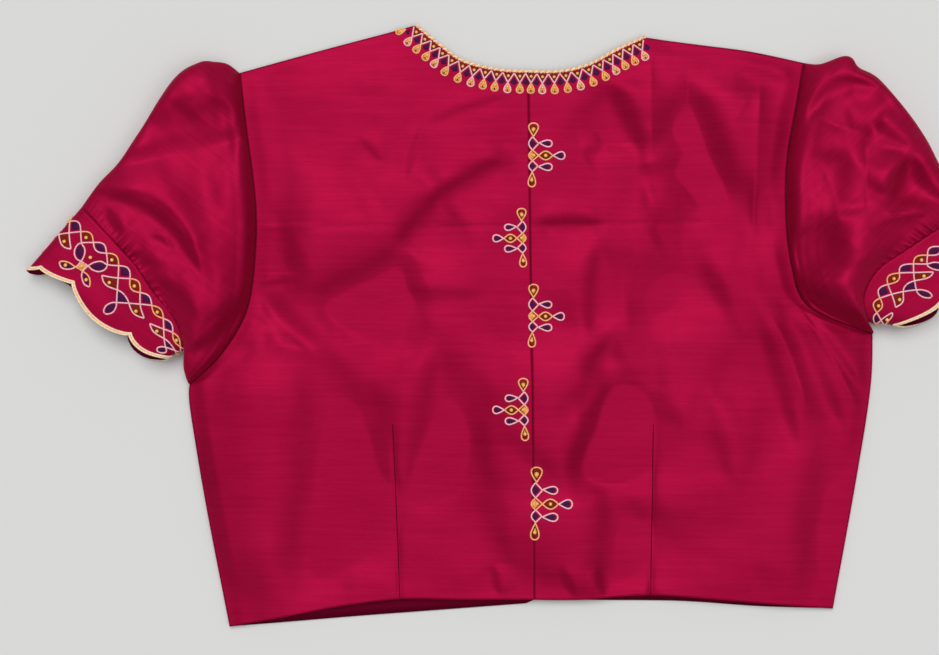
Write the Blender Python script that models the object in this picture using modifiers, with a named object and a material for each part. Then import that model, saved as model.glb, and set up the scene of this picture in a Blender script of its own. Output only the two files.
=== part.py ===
"""A choli blouse laid out flat with its back uppermost: two back halves that meet at a hooked
centre opening, a front beneath them, puffed sleeves gathered into scalloped bands, piped necks.

Frame: +Z up from the table, +Y towards the neck, origin at the bottom centre of the whole piece.
Every size below is in millimetres. A table's columns are named in the comment above it.
"""

import bisect
import math

import bmesh
import bpy
from mathutils import Vector

MM = 0.001

# Cloth and seams
CLOTH = 1.2
SEAM_GAP = 0.3
SLEEVE_GAP = 0.45
# The back's height at its side and shoulder seams, at the armhole, and how far it rises between
SEAM_TOP = CLOTH + SEAM_GAP + CLOTH
ARMHOLE_TOP = 3.9
CROWN = 2.6
CROWN_WIDTH = 45
ARMHOLE_WIDTH = 25
SEAM_WIDTH = 20
SHOULDER_CROWN_WIDTH = 35
# The least height beside the centre opening, and the shares of the width where it starts and ends
LEAST_AT_CENTRE = 4.3
CENTRE_START = 0.08
CENTRE_END = 0.16
# Half the share of the width over which the neck's free edge turns into the held shoulder seam,
# and the share of the height over which the armhole's rise fades at its ends
NECK_CORNER = 0.12
ARMHOLE_FADE = 0.055

# Trims
PIPING_RADIUS = 0.9
FRONT_PIPING_RADIUS = 0.7
FRONT_PIPING_LIFT = 0.1
CORD_RADIUS = 1.0
CORD_CLEARANCE = 0.45
CORD_UP_FROM_EDGE = 1.4
UNDERLAP_CLOTH = 1.0
TUBE_RESOLUTION = 2

# Grid sizes of the walls
NECK_COLUMNS = 5
SHOULDER_COLUMNS = 9
ARMHOLE_ROWS = 11
SIDE_ROWS = 9
FRONT_NECK_COLUMNS = 4
FRONT_SHOULDER_COLUMNS = 4
UNDERLAP_COLUMNS = 1
RING_POINTS = 52
SLEEVE_STATIONS = (0, 0.06, 0.14, 0.25, 0.38, 0.52, 0.67, 0.81, 0.92, 1)
BAND_STATIONS = (0, 0.4, 0.8, 1)

# Sleeve band
UNDER_REACH = 6.0
SCALLOP_FULLNESS = 0.7

# Gathers where the sleeve meets its band, and how soon they and the folds fade at the seams
GATHERS = 13
GATHER_HEIGHT = 1.1
GATHER_CENTRE = 0.91
GATHER_SPREAD = 0.07
GATHER_END = 0.04
FOLD_START = 0.15
FOLD_END = 0.1

# Plan outlines. Columns: x, y.
CENTRE_LINE = {"neck": (-0.7, 172.0), "hem": (3.4, -185.0)}
LEFT = {
    "neck": [(-0.7, 172), (-20, 173), (-45, 179), (-62, 191), (-77.5, 204)],
    "shoulder": [(-77.5, 204), (-142, 187), (-196.5, 172)],
    "armhole": [
        (-196.5, 172), (-192.4, 137), (-186, 86), (-186, 50), (-192, 10), (-210, -20), (-230.5, -39.4),
    ],
    "side": [(-230.5, -39.4), (-230, -56), (-219, -122), (-203.3, -203.7)],
    "back_hem": [(3.4, -185), (-47, -185), (-88, -184.6), (-130, -190), (-169, -197.4), (-203.3, -203.7)],
    "front_hem": [(3.4, -187.6), (-60, -192.4), (-115, -196.5), (-169, -201), (-203.3, -203.7)],
    "sleeve_outer": [
        (-196.5, 172), (-204, 177.4), (-212.5, 178.7), (-222.6, 178), (-239.5, 166.5),
        (-263, 130.7), (-276.7, 110.5), (-290.2, 96.3), (-301.7, 80.7),
    ],
    "sleeve_inner": [(-230.5, -39.4), (-233, -27), (-231.4, -13.9)],
    "band_seam": [
        (-301.7, 80.7), (-288.4, 67.4), (-265.8, 43.1), (-252.4, 23.7), (-237.4, 3.6), (-231.4, -13.9),
    ],
    "band_hem": [(-336, 41), (-306, 28), (-268.6, -6), (-243, -20.5)],
}
RIGHT = {
    "neck": [(-0.7, 172), (21, 172), (40, 176.5), (60, 187), (79, 195.8)],
    "shoulder": [(79, 195.8), (116, 191), (150, 186.5), (186.3, 178.8)],
    "armhole": [(186.3, 178.8), (181, 150), (175, 115), (174, 80), (178, 41), (190, 13), (233, -5)],
    "side": [(233, -5), (231.5, -42), (221.7, -105), (206, -191.4)],
    "back_hem": [(3.4, -185), (35, -185), (82, -182), (130, -185.3), (168, -188.5), (206, -191.4)],
    "front_hem": [(3.4, -185.6), (50, -185.8), (103, -186.4), (157, -190), (206, -191.4)],
    "sleeve_outer": [
        (186.3, 178.8), (196.4, 177.4), (211, 182.3), (217.5, 181), (222, 174.5),
        (237, 165), (264, 130.7), (276.8, 107), (289, 94), (300, 82),
    ],
    "sleeve_inner": [(233, -5), (230, -1), (227, 3)],
    "band_seam": [(300, 82), (273.9, 65.9), (251, 51), (232, 37), (223, 20), (227, 3)],
    "band_hem": [(332, 41), (303, 34), (280, 24), (262, 13), (246, 1)],
}
FRONT_NECK = {
    "left": [(-0.7, 66), (-40, 78), (-64, 120), (-77.5, 204)],
    "right": [(-0.7, 66), (42, 78), (66, 118), (79, 195.8)],
}
# Back darts. Columns: apex x, apex y, hem x.
DARTS = {"left": (-92.5, -66, -87.7), "right": (84.3, -66, 82.3)}
DART_DEPTH = 0.9
DART_HALF_WIDTH = 3.5
DART_TAPER = 1 / 6
DART_MIDDLE = 0.85
# Scallops round each band. Columns: where one starts, as a share of the ring from the outer fold
# over the top; how far it stands out.
SCALLOPS = {
    "left": [(0.053, 2.5), (0.155, 9.0), (0.364, 5.0), (0.55, 7.0), (0.74, 7.0), (0.95, 4.0)],
    "right": [(0.09, 8.0), (0.29, 8.5), (0.49, 8.0), (0.69, 8.0), (0.89, 8.0)],
}

# Sleeve sections. Columns: share of the way to the band, height of the fold line, height of the top.
SLEEVE_HEIGHTS = [
    (0, 1.95, ARMHOLE_TOP), (0.06, 4, 11), (0.2, 7, 22), (0.45, 9, 29), (0.75, 9, 26), (1, 8, 21),
]
BAND_HEIGHTS = [(0, 8, 21), (0.5, 8, 20), (1, 9, 19)]
BAND_UNDERSIDE = 3.3
BAND_LIFT_END = 0.6
TOP_FULLNESS = 0.75
UNDERSIDE_FULLNESS = 0.45
FINE_RING = 720

# Which side of a crease is its high lip, in plan. The cloth steps down across the crease.
HIGH_SIDE = (-0.4, 0.92)
CREASE_LIP = 0.6
CREASE_FADE = 0.34
CREASE_OVERRUN = 0.12
# Largest creases of the back. Columns: x and y of one end, x and y of the other, bow towards the
# high side, half width, tilt of the face between its lips, below 0 where the other lip is high.
BACK_CREASES = [
    (-10, 118, -67, 91, 0, 10, 0.2),
    (-54, 99, -135, 35, 3, 11, 0.28),
    (-115, 52, -159, 18, 0, 13, 0.22),
    (-182, 14, -146, -18, -6, 10, -0.2),
    (-45, -21, -75, -118, 4, 13, 0.2),
    (-40, -84, 0, -153, -3, 13, 0.18),
    (-182, 4, -164, -182, -8, 28, 0.13),
    (-213, -36, -210, -121, 0, 16, -0.14),
    (45, 57, 42, 1, -3, 10, 0.24),
    (63, -1, 1, -74, 3, 10, 0.3),
    (75, -30, 9, -112, 4, 13, 0.28),
    (53, -104, 53, -180, 3, 11, 0.18),
    (114, 109, 73, 76, 0, 12, 0.24),
    (94, 69, 90, 18, 0, 14, 0.22),
    (111, 160, 141, 84, 3, 13, 0.24),
    (92, 180, 90, 120, 0, 10, -0.18),
    (52, 162, 79, 120, 0, 10, 0.2),
    (116, 76, 165, 18, 0, 22, -0.12),
    (85, -16, 148, -46, 0, 28, -0.16),
    (116, -40, 138, -112, 0, 11, 0.22),
    (146, 4, 181, -82, 3, 11, 0.26),
    (192, 4, 227, -50, 2, 9, 0.26),
    (136, -84, 156, -178, 0, 18, 0.1),
    (99, -77, 95, -178, 0, 16, -0.12),
]
# Largest creases of each sleeve's top, in the same columns.
SLEEVE_CREASES = {
    "left": [
        (-222, 168, -192, 131, 2, 10, 0.42),
        (-229, 153, -259, 108, 2, 10, 0.34),
        (-190, 122, -282, 101, -2, 9, 0.24),
        (-292, 92, -219, 35, 14, 9, 0.26),
        (-197, 58, -204, 18, 0, 10, 0.14),
        (-226, -16, -187, 23, -3, 9, 0.4),
    ],
    "right": [
        (183, 141, 231, 161, 14, 9, 0.45),
        (214, 131, 267, 105, 2, 10, 0.3),
        (249, 116, 233, 74, 0, 9, 0.24),
        (267, 72, 226, 62, 0, 9, 0.24),
        (180, 31, 226, 4, 0, 10, 0.4),
        (197, 58, 227, 31, 0, 16, 0.2),
        (247, 115, 274, 84, 0, 9, 0.2),
    ],
}

# Colours: linear red, green, blue, then roughness.
MAGENTA_SILK = (0.34, 0.005, 0.04, 0.42)
BAND_SILK = (0.30, 0.005, 0.035, 0.45)
GOLD_CORD = (0.75, 0.48, 0.24, 0.55)
LINING = (0.12, 0.002, 0.012, 0.8)


def clear_scene():
    for thing in list(bpy.data.objects):
        bpy.data.objects.remove(thing, do_unlink=True)


def material(name, finish):
    made = bpy.data.materials.new(name)
    made.use_nodes = True
    shader = made.node_tree.nodes["Principled BSDF"]
    shader.inputs["Base Color"].default_value = (*finish[:3], 1)
    shader.inputs["Roughness"].default_value = finish[3]
    shader.inputs["Metallic"].default_value = 0
    return made


def ease(share):
    """0 up to 1, level at both ends."""
    held = min(1, max(0, share))
    return held * held * (3 - 2 * held)


def smooth_line(points, steps=10):
    """A function of 0 to 1, by length, along a smooth curve through the points."""
    fixed = [Vector(p) for p in points]
    last = len(fixed) - 1
    dense = []
    for i in range(last):
        before, start, end, after = fixed[max(i - 1, 0)], fixed[i], fixed[i + 1], fixed[min(i + 2, last)]
        for step in range(steps):
            t = step / steps
            dense.append(
                0.5 * (2 * start + (end - before) * t + (2 * before - 5 * start + 4 * end - after) * t**2
                       + (3 * start - before - 3 * end + after) * t**3)
            )
    return straight_line([*dense, fixed[-1]])


def straight_line(points):
    """A function of 0 to 1, by length, along the straight runs between the points."""
    fixed = [Vector(p) for p in points]
    reach = [0.0]
    for a, b in zip(fixed, fixed[1:]):
        reach.append(reach[-1] + (b - a).length)

    def at(share):
        want = min(1, max(0, share)) * reach[-1]
        i = min(len(fixed) - 2, max(0, bisect.bisect_right(reach, want) - 1))
        return fixed[i].lerp(fixed[i + 1], (want - reach[i]) / max(reach[i + 1] - reach[i], 1e-9))

    return at


def two_lines(first, second, split):
    """One function over two lines, the first up to split."""
    return lambda share: first(share / split) if share <= split else second((share - split) / (1 - split))


def patch(top, bottom, start, end):
    """A plan filled between four edges: top and bottom run across, start and end run down."""

    def at(across, down):
        corners = (
            top(0) * (1 - across) * (1 - down) + top(1) * across * (1 - down)
            + bottom(0) * (1 - across) * down + bottom(1) * across * down
        )
        return (
            top(across) * (1 - down) + bottom(across) * down
            + start(down) * (1 - across) + end(down) * across - corners
        )

    return at


def from_table(rows, share):
    """The columns after the first, read straight between a table's rows."""
    for low, high in zip(rows, rows[1:]):
        if share <= high[0]:
            part = (share - low[0]) / (high[0] - low[0])
            return [a + (b - a) * part for a, b in zip(low[1:], high[1:])]
    return list(rows[-1][1:])


def crease_height(creases, place):
    """The sum of soft steps: a tilted face between a high and a low lip, faded at both ends."""
    total = 0.0
    for x1, y1, x2, y2, bow, half_width, tilt in creases:
        start = Vector((x1, y1))
        run = Vector((x2, y2)) - start
        up = Vector((-run.y, run.x)).normalized()
        if up.dot(Vector(HIGH_SIDE)) < 0:
            up = -up
        along = (place - start).dot(run) / run.length_squared
        off = ((place - start).dot(up) - 4 * bow * along * (1 - along)) / half_width
        fade = ease((along + CREASE_OVERRUN) / CREASE_FADE) * ease((1 + CREASE_OVERRUN - along) / CREASE_FADE)
        total += tilt * half_width * CREASE_LIP * off * math.exp(0.5 - off * off / 2) * fade
    return total


# Body panels


def side_edge(outline):
    split = ARMHOLE_ROWS / (ARMHOLE_ROWS + SIDE_ROWS)
    return two_lines(smooth_line(outline["armhole"]), smooth_line(outline["side"]), split)


def half_plan(outline, neck, hem, neck_columns, shoulder_columns):
    """The plan of half a panel, from the centre line out to the armhole and side seam."""
    split = neck_columns / (neck_columns + shoulder_columns)
    top = two_lines(smooth_line(neck), smooth_line(outline["shoulder"]), split)
    centre = straight_line([neck[0], hem[0]])
    return patch(top, smooth_line(hem), centre, side_edge(outline))


def dart_groove(side, place):
    apex_x, apex_y, hem_x = DARTS[side]
    down = (apex_y - place.y) / (apex_y - CENTRE_LINE["hem"][1])
    if down < 0:
        return 0.0
    off = (place.x - apex_x - (hem_x - apex_x) * down) / DART_HALF_WIDTH
    return -DART_DEPTH * ease(down / DART_TAPER) * math.exp(-2 * off * off)


def back_top(side, plan, across, down):
    """Height of the back's upper face above the table."""
    place = plan(across, down)
    to_side = (plan(1, down) - place).length
    to_top = (plan(across, 0) - place).length
    neck_share = NECK_COLUMNS / (NECK_COLUMNS + SHOULDER_COLUMNS)
    shoulder = ease((across - neck_share) / (2 * NECK_CORNER) + 0.5)
    crown = CROWN * ease(to_side / CROWN_WIDTH) * (1 - shoulder * (1 - ease(to_top / SHOULDER_CROWN_WIDTH)))
    armhole_end = ARMHOLE_ROWS / (ARMHOLE_ROWS + SIDE_ROWS)
    beside_sleeve = ease(down / ARMHOLE_FADE) * ease((armhole_end - down) / ARMHOLE_FADE)
    armhole = (ARMHOLE_TOP - SEAM_TOP) * beside_sleeve * (1 - ease(to_side / ARMHOLE_WIDTH))
    held_down = ease(to_side / SEAM_WIDTH) * (1 - shoulder * (1 - ease(to_top / SEAM_WIDTH)))
    folds = crease_height(BACK_CREASES, place) * held_down
    height = SEAM_TOP + crown + armhole + folds + dart_groove(side, place)
    beside_centre = ease((CENTRE_END - across) / (CENTRE_END - CENTRE_START))
    return max(height, SEAM_TOP + (LEAST_AT_CENTRE - SEAM_TOP) * beside_centre)


def dart_column(side, plan, columns):
    """The grid column nearest to the dart, and the dart's x at each y."""
    apex_x, apex_y, hem_x = DARTS[side]
    lowest = [plan(c / columns, DART_MIDDLE).x for c in range(columns + 1)]
    nearest = min(range(1, columns), key=lambda c: abs(lowest[c] - (apex_x + hem_x) / 2))
    return nearest, lambda y: apex_x + (hem_x - apex_x) * (apex_y - y) / (apex_y - CENTRE_LINE["hem"][1])


def open_grid(name, columns, rows, place_of, finish):
    """A named object with a primitive grid whose points are set by place_of(column, row)."""
    mesh = bpy.data.meshes.new(name)
    shape = bmesh.new()
    bmesh.ops.create_grid(shape, x_segments=columns, y_segments=rows, size=1)
    for point in shape.verts:
        column = round((point.co.x + 1) / 2 * columns)
        row = round((1 - point.co.y) / 2 * rows)
        point.co = place_of(column, row) * MM
    bmesh.ops.recalc_face_normals(shape, faces=shape.faces)
    if sum(face.normal.z for face in shape.faces) < 0:
        bmesh.ops.reverse_faces(shape, faces=shape.faces)
    shape.to_mesh(mesh)
    shape.free()
    mesh.shade_smooth()
    mesh.materials.append(finish)
    return add(bpy.data.objects.new(name, mesh))


def add(thing):
    bpy.data.collections["choli_blouse"].objects.link(thing)
    return thing


def thicken(thing, thickness):
    """A wall below the grid's own surface."""
    wall = thing.modifiers.new("cloth", "SOLIDIFY")
    wall.thickness = thickness * MM
    wall.offset = -1
    wall.use_even_offset = False
    return thing


def back_points(side, outline):
    """Function of column and row for one back half's upper face."""
    columns, rows = NECK_COLUMNS + SHOULDER_COLUMNS, ARMHOLE_ROWS + SIDE_ROWS
    plan = half_plan(outline, outline["neck"], outline["back_hem"], NECK_COLUMNS, SHOULDER_COLUMNS)
    dart, dart_x = dart_column(side, plan, columns)
    outward = -1 if side == "left" else 1

    def at(column, row):
        across, down = column / columns, row / rows
        place = plan(across, down)
        height = back_top(side, plan, across, down)
        if abs(column - dart) <= 1 and place.y < DARTS[side][1]:
            place = Vector((dart_x(place.y) + outward * (column - dart) * DART_HALF_WIDTH, place.y))
            height += dart_groove(side, place) - dart_groove(side, plan(across, down))
        if column == 0:
            place = place + Vector((outward * SEAM_GAP / 2, 0))
        return Vector((*place, height))

    return at


def back_half(side, outline, finish):
    columns, rows = NECK_COLUMNS + SHOULDER_COLUMNS, ARMHOLE_ROWS + SIDE_ROWS
    return thicken(open_grid(f"back_{side}", columns, rows, back_points(side, outline), finish), CLOTH)


def back_underlap(finish):
    """The flat strip behind the centre opening, made from the back's own points, level beneath them."""
    rows = ARMHOLE_ROWS + SIDE_ROWS
    left, right = back_points("left", LEFT), back_points("right", RIGHT)
    level = LEAST_AT_CENTRE - CLOTH - SEAM_GAP

    def at(column, row):
        off = column - UNDERLAP_COLUMNS
        if off == 0:
            place = (left(0, row) + right(0, row)) / 2
        else:
            place = left(-off, row) if off < 0 else right(off, row)
        return Vector((place.x, place.y, level))

    return thicken(open_grid("back_underlap", 2 * UNDERLAP_COLUMNS, rows, at, finish), UNDERLAP_CLOTH)


def front_plan(side, outline):
    neck, hem = FRONT_NECK[side], outline["front_hem"]
    return half_plan(outline, neck, hem, FRONT_NECK_COLUMNS, FRONT_SHOULDER_COLUMNS)


def front_panel(finish):
    """The front, flat on the table, with the deeper neck."""
    half = FRONT_NECK_COLUMNS + FRONT_SHOULDER_COLUMNS
    rows = ARMHOLE_ROWS + SIDE_ROWS
    plans = {side: front_plan(side, outline) for side, outline in (("left", LEFT), ("right", RIGHT))}

    def at(column, row):
        off = column - half
        place = plans["left" if off < 0 else "right"](abs(off) / half, row / rows)
        return Vector((*place, CLOTH))

    return thicken(open_grid("front", 2 * half, rows, at, finish), CLOTH)


# Sleeves and bands


def armhole_seam(outline):
    """The body's own armhole corners, moved out by the sleeve's gap, as one line."""
    edge = side_edge(outline)
    rows = ARMHOLE_ROWS + SIDE_ROWS
    corners = [edge(row / rows) for row in range(ARMHOLE_ROWS + 1)]
    outward = -1 if corners[0].x < 0 else 1
    moved = []
    for i, corner in enumerate(corners):
        run = corners[min(i + 1, len(corners) - 1)] - corners[max(i - 1, 0)]
        moved.append(corner + Vector((-run.y, run.x)).normalized() * SLEEVE_GAP * outward)
    return straight_line(moved)


def sleeve_plan(outline):
    """Plan of the puff: across from the outer fold line to the underarm, down from armhole to band."""
    armhole, seam = armhole_seam(outline), smooth_line(outline["band_seam"])
    outer = smooth_line([armhole(0), *outline["sleeve_outer"][1:]])
    inner = smooth_line([armhole(1), *outline["sleeve_inner"][1:]])
    return patch(armhole, seam, outer, inner)


def section_point(plan, across_angle, edge, top, underside, inset, lift):
    """One point of a flattened tube's section. Inset is the wall's thickness on the inner face."""
    sine = math.sin(across_angle)
    across = (1 - math.cos(across_angle)) / 2
    width = (plan(1) - plan(0)).length
    across = 0.5 + (across - 0.5) * (1 - 2 * inset / width)
    if sine >= 0:
        rise = (top - edge) * sine**TOP_FULLNESS + lift(plan(across)) * sine
        height = edge + rise * (1 - inset / (top - edge))
    else:
        fall = (edge - underside) * (-sine) ** UNDERSIDE_FULLNESS
        height = edge - fall * (1 - inset / (edge - underside))
    place = plan(across)
    return Vector((place.x, place.y, height))


def ring_shares(side):
    """Shares of the way round, with one at each cusp, and how far the hem stands out at each."""
    scallops = SCALLOPS[side]
    found = []
    for i, (start, depth) in enumerate(scallops):
        width = scallops[(i + 1) % len(scallops)][0] - start
        width += 1 if width < 0 else 0
        count = max(4, round(RING_POINTS * width))
        for step in range(count):
            part = step / count
            found.append(((start + width * part) % 1, depth * math.sin(math.pi * part) ** SCALLOP_FULLNESS))
    return found


def ring_angles(side, outline):
    """Angles round the section at the ring's shares, which are by length on the band seam."""
    seam = smooth_line(outline["band_seam"])
    edge, top = SLEEVE_HEIGHTS[-1][1:]
    ring = [
        section_point(seam, math.tau * i / FINE_RING, edge, top, 0, 0, lambda place: 0)
        for i in range(FINE_RING + 1)
    ]
    reach = [0.0]
    for a, b in zip(ring, ring[1:]):
        reach.append(reach[-1] + (b - a).length)
    angles = []
    for share, _ in ring_shares(side):
        want = share * reach[-1]
        i = max(0, bisect.bisect_right(reach, want) - 1)
        angles.append(math.tau * (i + (want - reach[i]) / max(reach[i + 1] - reach[i], 1e-9)) / FINE_RING)
    return [angle if angle <= math.pi else angle - math.tau for angle in angles]


def tube_wall(name, stations, ring_of, finish):
    """A loft between unlike rings: the outer face, the inner face, and a rim at each end."""
    shape = bmesh.new()
    outer = [[shape.verts.new(p * MM) for p in ring_of(station, 0)] for station in stations]
    inner = [[shape.verts.new(p * MM) for p in ring_of(station, CLOTH)] for station in stations]
    count = len(outer[0])

    def bridge(first, second):
        for k in range(count):
            after = (k + 1) % count
            shape.faces.new((first[k], first[after], second[after], second[k]))

    for rings in (outer, inner):
        for first, second in zip(rings, rings[1:]):
            bridge(first, second)
    bridge(outer[0], inner[0])
    bridge(outer[-1], inner[-1])
    bmesh.ops.recalc_face_normals(shape, faces=shape.faces)
    mesh = bpy.data.meshes.new(name)
    shape.to_mesh(mesh)
    shape.free()
    mesh.shade_smooth()
    mesh.materials.append(finish)
    return add(bpy.data.objects.new(name, mesh))


def at_body_corners(angles):
    """The angles, with the nearest one moved to each corner of the body's armhole, above and beneath."""
    moved = list(angles)
    for row in range(1, ARMHOLE_ROWS):
        corner = math.acos(1 - 2 * row / ARMHOLE_ROWS)
        for angle in (corner, -corner):
            nearest = min(range(len(angles)), key=lambda k, angle=angle: abs(angles[k] - angle))
            moved[nearest] = angle
    return moved


def sleeve_ring(side, outline, angles):
    plan = sleeve_plan(outline)

    seam_angles = at_body_corners(angles)

    def ring(station, inset):
        edge, top = from_table(SLEEVE_HEIGHTS, station)
        fade = ease(station / FOLD_START) * ease((1 - station) / FOLD_END)
        swell = GATHER_HEIGHT * math.exp(-(((station - GATHER_CENTRE) / GATHER_SPREAD) ** 2))
        swell *= ease((1 - station) / GATHER_END)
        points = []
        for k, angle in enumerate(angles if station else seam_angles):
            wave = swell * math.sin(math.tau * GATHERS * k / len(angles))

            def lift(place, wave=wave):
                return crease_height(SLEEVE_CREASES[side], place) * fade + wave

            points.append(section_point(lambda a: plan(a, station), angle, edge, top, 0, inset, lift))
        return points

    return ring


def band_ring(side, outline, angles):
    seam, hem = smooth_line(outline["band_seam"]), smooth_line(outline["band_hem"])
    scallops = [depth for _, depth in ring_shares(side)]

    def ring(station, inset):
        edge, top = from_table(BAND_HEIGHTS, station)
        underside = BAND_UNDERSIDE * ease(station / BAND_LIFT_END)
        points = []
        for k, angle in enumerate(angles):
            under = UNDER_REACH * min(1, max(0, -math.sin(angle)) * 2)
            reach = (scallops[k] + under) * station

            def plan(across):
                run = hem(across) - seam(across)
                return seam(across) + run * station + run.normalized() * (SEAM_GAP * (1 - station) + reach)

            points.append(section_point(plan, angle, edge, top, underside, inset, lambda place: 0))
        return points

    return ring


def cord_line(side, outline, angles):
    """The trim cord's centre, from the band's own points near the hem, moved out."""
    ring = band_ring(side, outline, angles)
    hem, above = ring(BAND_STATIONS[-1], 0), ring(BAND_STATIONS[-2], 0)
    count = len(hem)
    middle = sum(hem, Vector()) / count
    line = []
    for k, point in enumerate(hem):
        up = (above[k] - point).normalized()
        round_it = (hem[(k + 1) % count] - hem[k - 1]).normalized()
        out = up.cross(round_it).normalized()
        if out.dot(point - middle) < 0:
            out = -out
        line.append(point + up * CORD_UP_FROM_EDGE + out * (CORD_RADIUS + CORD_CLEARANCE))
    return line


def tube(name, line, radius, closed, finish):
    curve = bpy.data.curves.new(name, "CURVE")
    curve.dimensions = "3D"
    curve.bevel_depth = radius * MM
    curve.bevel_resolution = TUBE_RESOLUTION
    curve.use_fill_caps = True
    run = curve.splines.new("POLY")
    run.points.add(len(line) - 1)
    for point, place in zip(run.points, line):
        point.co = (*(place * MM), 1)
    run.use_cyclic_u = closed
    curve.materials.append(finish)
    return add(bpy.data.objects.new(name, curve))


# Neck piping


def back_piping_line(side, outline):
    """Beside the back's own neck points, outside its edge."""
    at = back_points(side, outline)
    edge = [at(column, 0) for column in range(NECK_COLUMNS + 1)]
    return beside(edge, Vector((0, 0, CLOTH / 2)))


def front_piping_line():
    half = FRONT_NECK_COLUMNS + FRONT_SHOULDER_COLUMNS
    split = FRONT_NECK_COLUMNS / half
    edge = []
    for side, outline in (("left", LEFT), ("right", RIGHT)):
        plan = front_plan(side, outline)
        run = [plan(split * i / FRONT_NECK_COLUMNS, 0) for i in range(FRONT_NECK_COLUMNS + 1)]
        edge = run[::-1] if side == "left" else edge + run[1:]
    return beside([Vector((*p, FRONT_PIPING_RADIUS + FRONT_PIPING_LIFT)) for p in edge], Vector())


def beside(edge, drop):
    """A line one radius and a gap outside a neck edge, in plan, towards +Y."""
    line = []
    for i, point in enumerate(edge):
        run = edge[min(i + 1, len(edge) - 1)] - edge[max(i - 1, 0)]
        out = Vector((-run.y, run.x, 0)).normalized()
        if out.y < 0:
            out = -out
        line.append(point - drop + out * (PIPING_RADIUS + SEAM_GAP))
    return line


def main():
    clear_scene()
    parts = bpy.data.collections.new("choli_blouse")
    bpy.context.scene.collection.children.link(parts)
    silk = material("magenta_silk", MAGENTA_SILK)
    band_silk = material("band_silk", BAND_SILK)
    gold = material("gold_cord", GOLD_CORD)
    lining = material("placket", LINING)
    front_panel(silk)
    back_underlap(lining)
    for side, outline in (("left", LEFT), ("right", RIGHT)):
        back_half(side, outline, silk)
        angles = ring_angles(side, outline)
        tube_wall(f"sleeve_{side}", SLEEVE_STATIONS, sleeve_ring(side, outline, angles), silk)
        tube_wall(f"sleeve_band_{side}", BAND_STATIONS, band_ring(side, outline, angles), band_silk)
        tube(f"band_cord_{side}", cord_line(side, outline, angles), CORD_RADIUS, True, gold)
        tube(f"neck_piping_{side}", back_piping_line(side, outline), PIPING_RADIUS, False, gold)
    tube("neck_piping_front", front_piping_line(), FRONT_PIPING_RADIUS, False, gold)


main()
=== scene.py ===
import math

import bpy
import numpy as np
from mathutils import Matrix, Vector
from mathutils.bvhtree import BVHTree


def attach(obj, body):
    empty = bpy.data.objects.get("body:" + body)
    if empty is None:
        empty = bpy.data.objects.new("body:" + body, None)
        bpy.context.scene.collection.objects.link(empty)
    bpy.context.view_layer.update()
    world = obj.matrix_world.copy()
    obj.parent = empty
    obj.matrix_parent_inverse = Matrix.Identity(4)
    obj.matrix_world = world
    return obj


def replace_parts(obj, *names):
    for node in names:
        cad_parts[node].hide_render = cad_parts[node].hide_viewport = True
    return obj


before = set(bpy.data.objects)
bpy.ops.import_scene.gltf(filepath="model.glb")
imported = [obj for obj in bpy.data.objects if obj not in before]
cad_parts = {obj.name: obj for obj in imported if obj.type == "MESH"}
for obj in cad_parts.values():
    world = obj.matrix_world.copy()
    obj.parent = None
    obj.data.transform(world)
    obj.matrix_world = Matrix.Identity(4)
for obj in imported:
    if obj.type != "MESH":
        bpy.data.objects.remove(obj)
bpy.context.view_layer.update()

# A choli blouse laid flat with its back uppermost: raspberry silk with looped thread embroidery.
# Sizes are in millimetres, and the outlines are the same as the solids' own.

# Metres in a millimetre, and the height in metres that rays look down from
MM = 0.001
RAY_START = 0.2

# The photograph: millimetres a pixel on the table, its size, and the place of its middle in plan
MM_PER_PIXEL = 0.68
PHOTO_WIDTH = 939
PHOTO_MIDDLE = (-40.5, -0.7)
CAMERA_HEIGHT = 1300.0
SENSOR = 36.0

# Cloth walls, and the gaps at the seams
CLOTH = 1.2
SHELL = 0.7
UNDERLAP_CLOTH = 1.0
SEAM_GAP = 0.3
SLEEVE_GAP = 0.05
OPENING_GAP = 0.16
BAND_GAP = 0.1
# The back's upper face: its heights at the seams and beside the sleeves, its crown, and how far in
# from an edge each of these runs
SEAM_TOP = CLOTH + SEAM_GAP + CLOTH
ARMHOLE_TOP = 3.9
CROWN = 2.6
CROWN_WIDTH = 45
ARMHOLE_WIDTH = 25
SEAM_WIDTH = 12
SHOULDER_CROWN_WIDTH = 35
# The least heights, the share that is left of a dip below them, how far the back's folds are lifted,
# and the share that is left of them at its side
LEAST_AT_CENTRE = 4.3
LEAST_ELSEWHERE = SEAM_TOP + 0.1
UNDER_LEAST = 0.15
FOLDS_LIFT = 1.2
FOLDS_AT_SIDE = 0.25
LEAST_SLEEVE = 0.05
# Shares of the way across or down the plans
CENTRE_START = 0.08
CENTRE_END = 0.16
NECK_CORNER = 0.12
ARMHOLE_FADE = 0.055
NECK_SHARE = 5 / 14
ARMHOLE_SHARE = 11 / 20
FRONT_NECK_SHARE = 0.5
UNDERLAP_SHARE = 1 / 14

# How fine the shells are: the size of a cell on the panels, and the cells along and round the tubes
CELL = 1.5
RING_POINTS = 320
SLEEVE_CELLS = 110
BAND_CELLS = 24
# A back half's size, across and down, and the points across and down the strip and the front
BACK_SIZE = (225, 380)
UNDERLAP_GRID = (13, 121)
FRONT_GRID = (41, 81)
# Steps that lines and surfaces are measured with
ARMHOLE_ROWS = 110
RING_STEPS = 720
BAND_GRID = (480, 60)
BAND_SMOOTHING = 25

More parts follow.
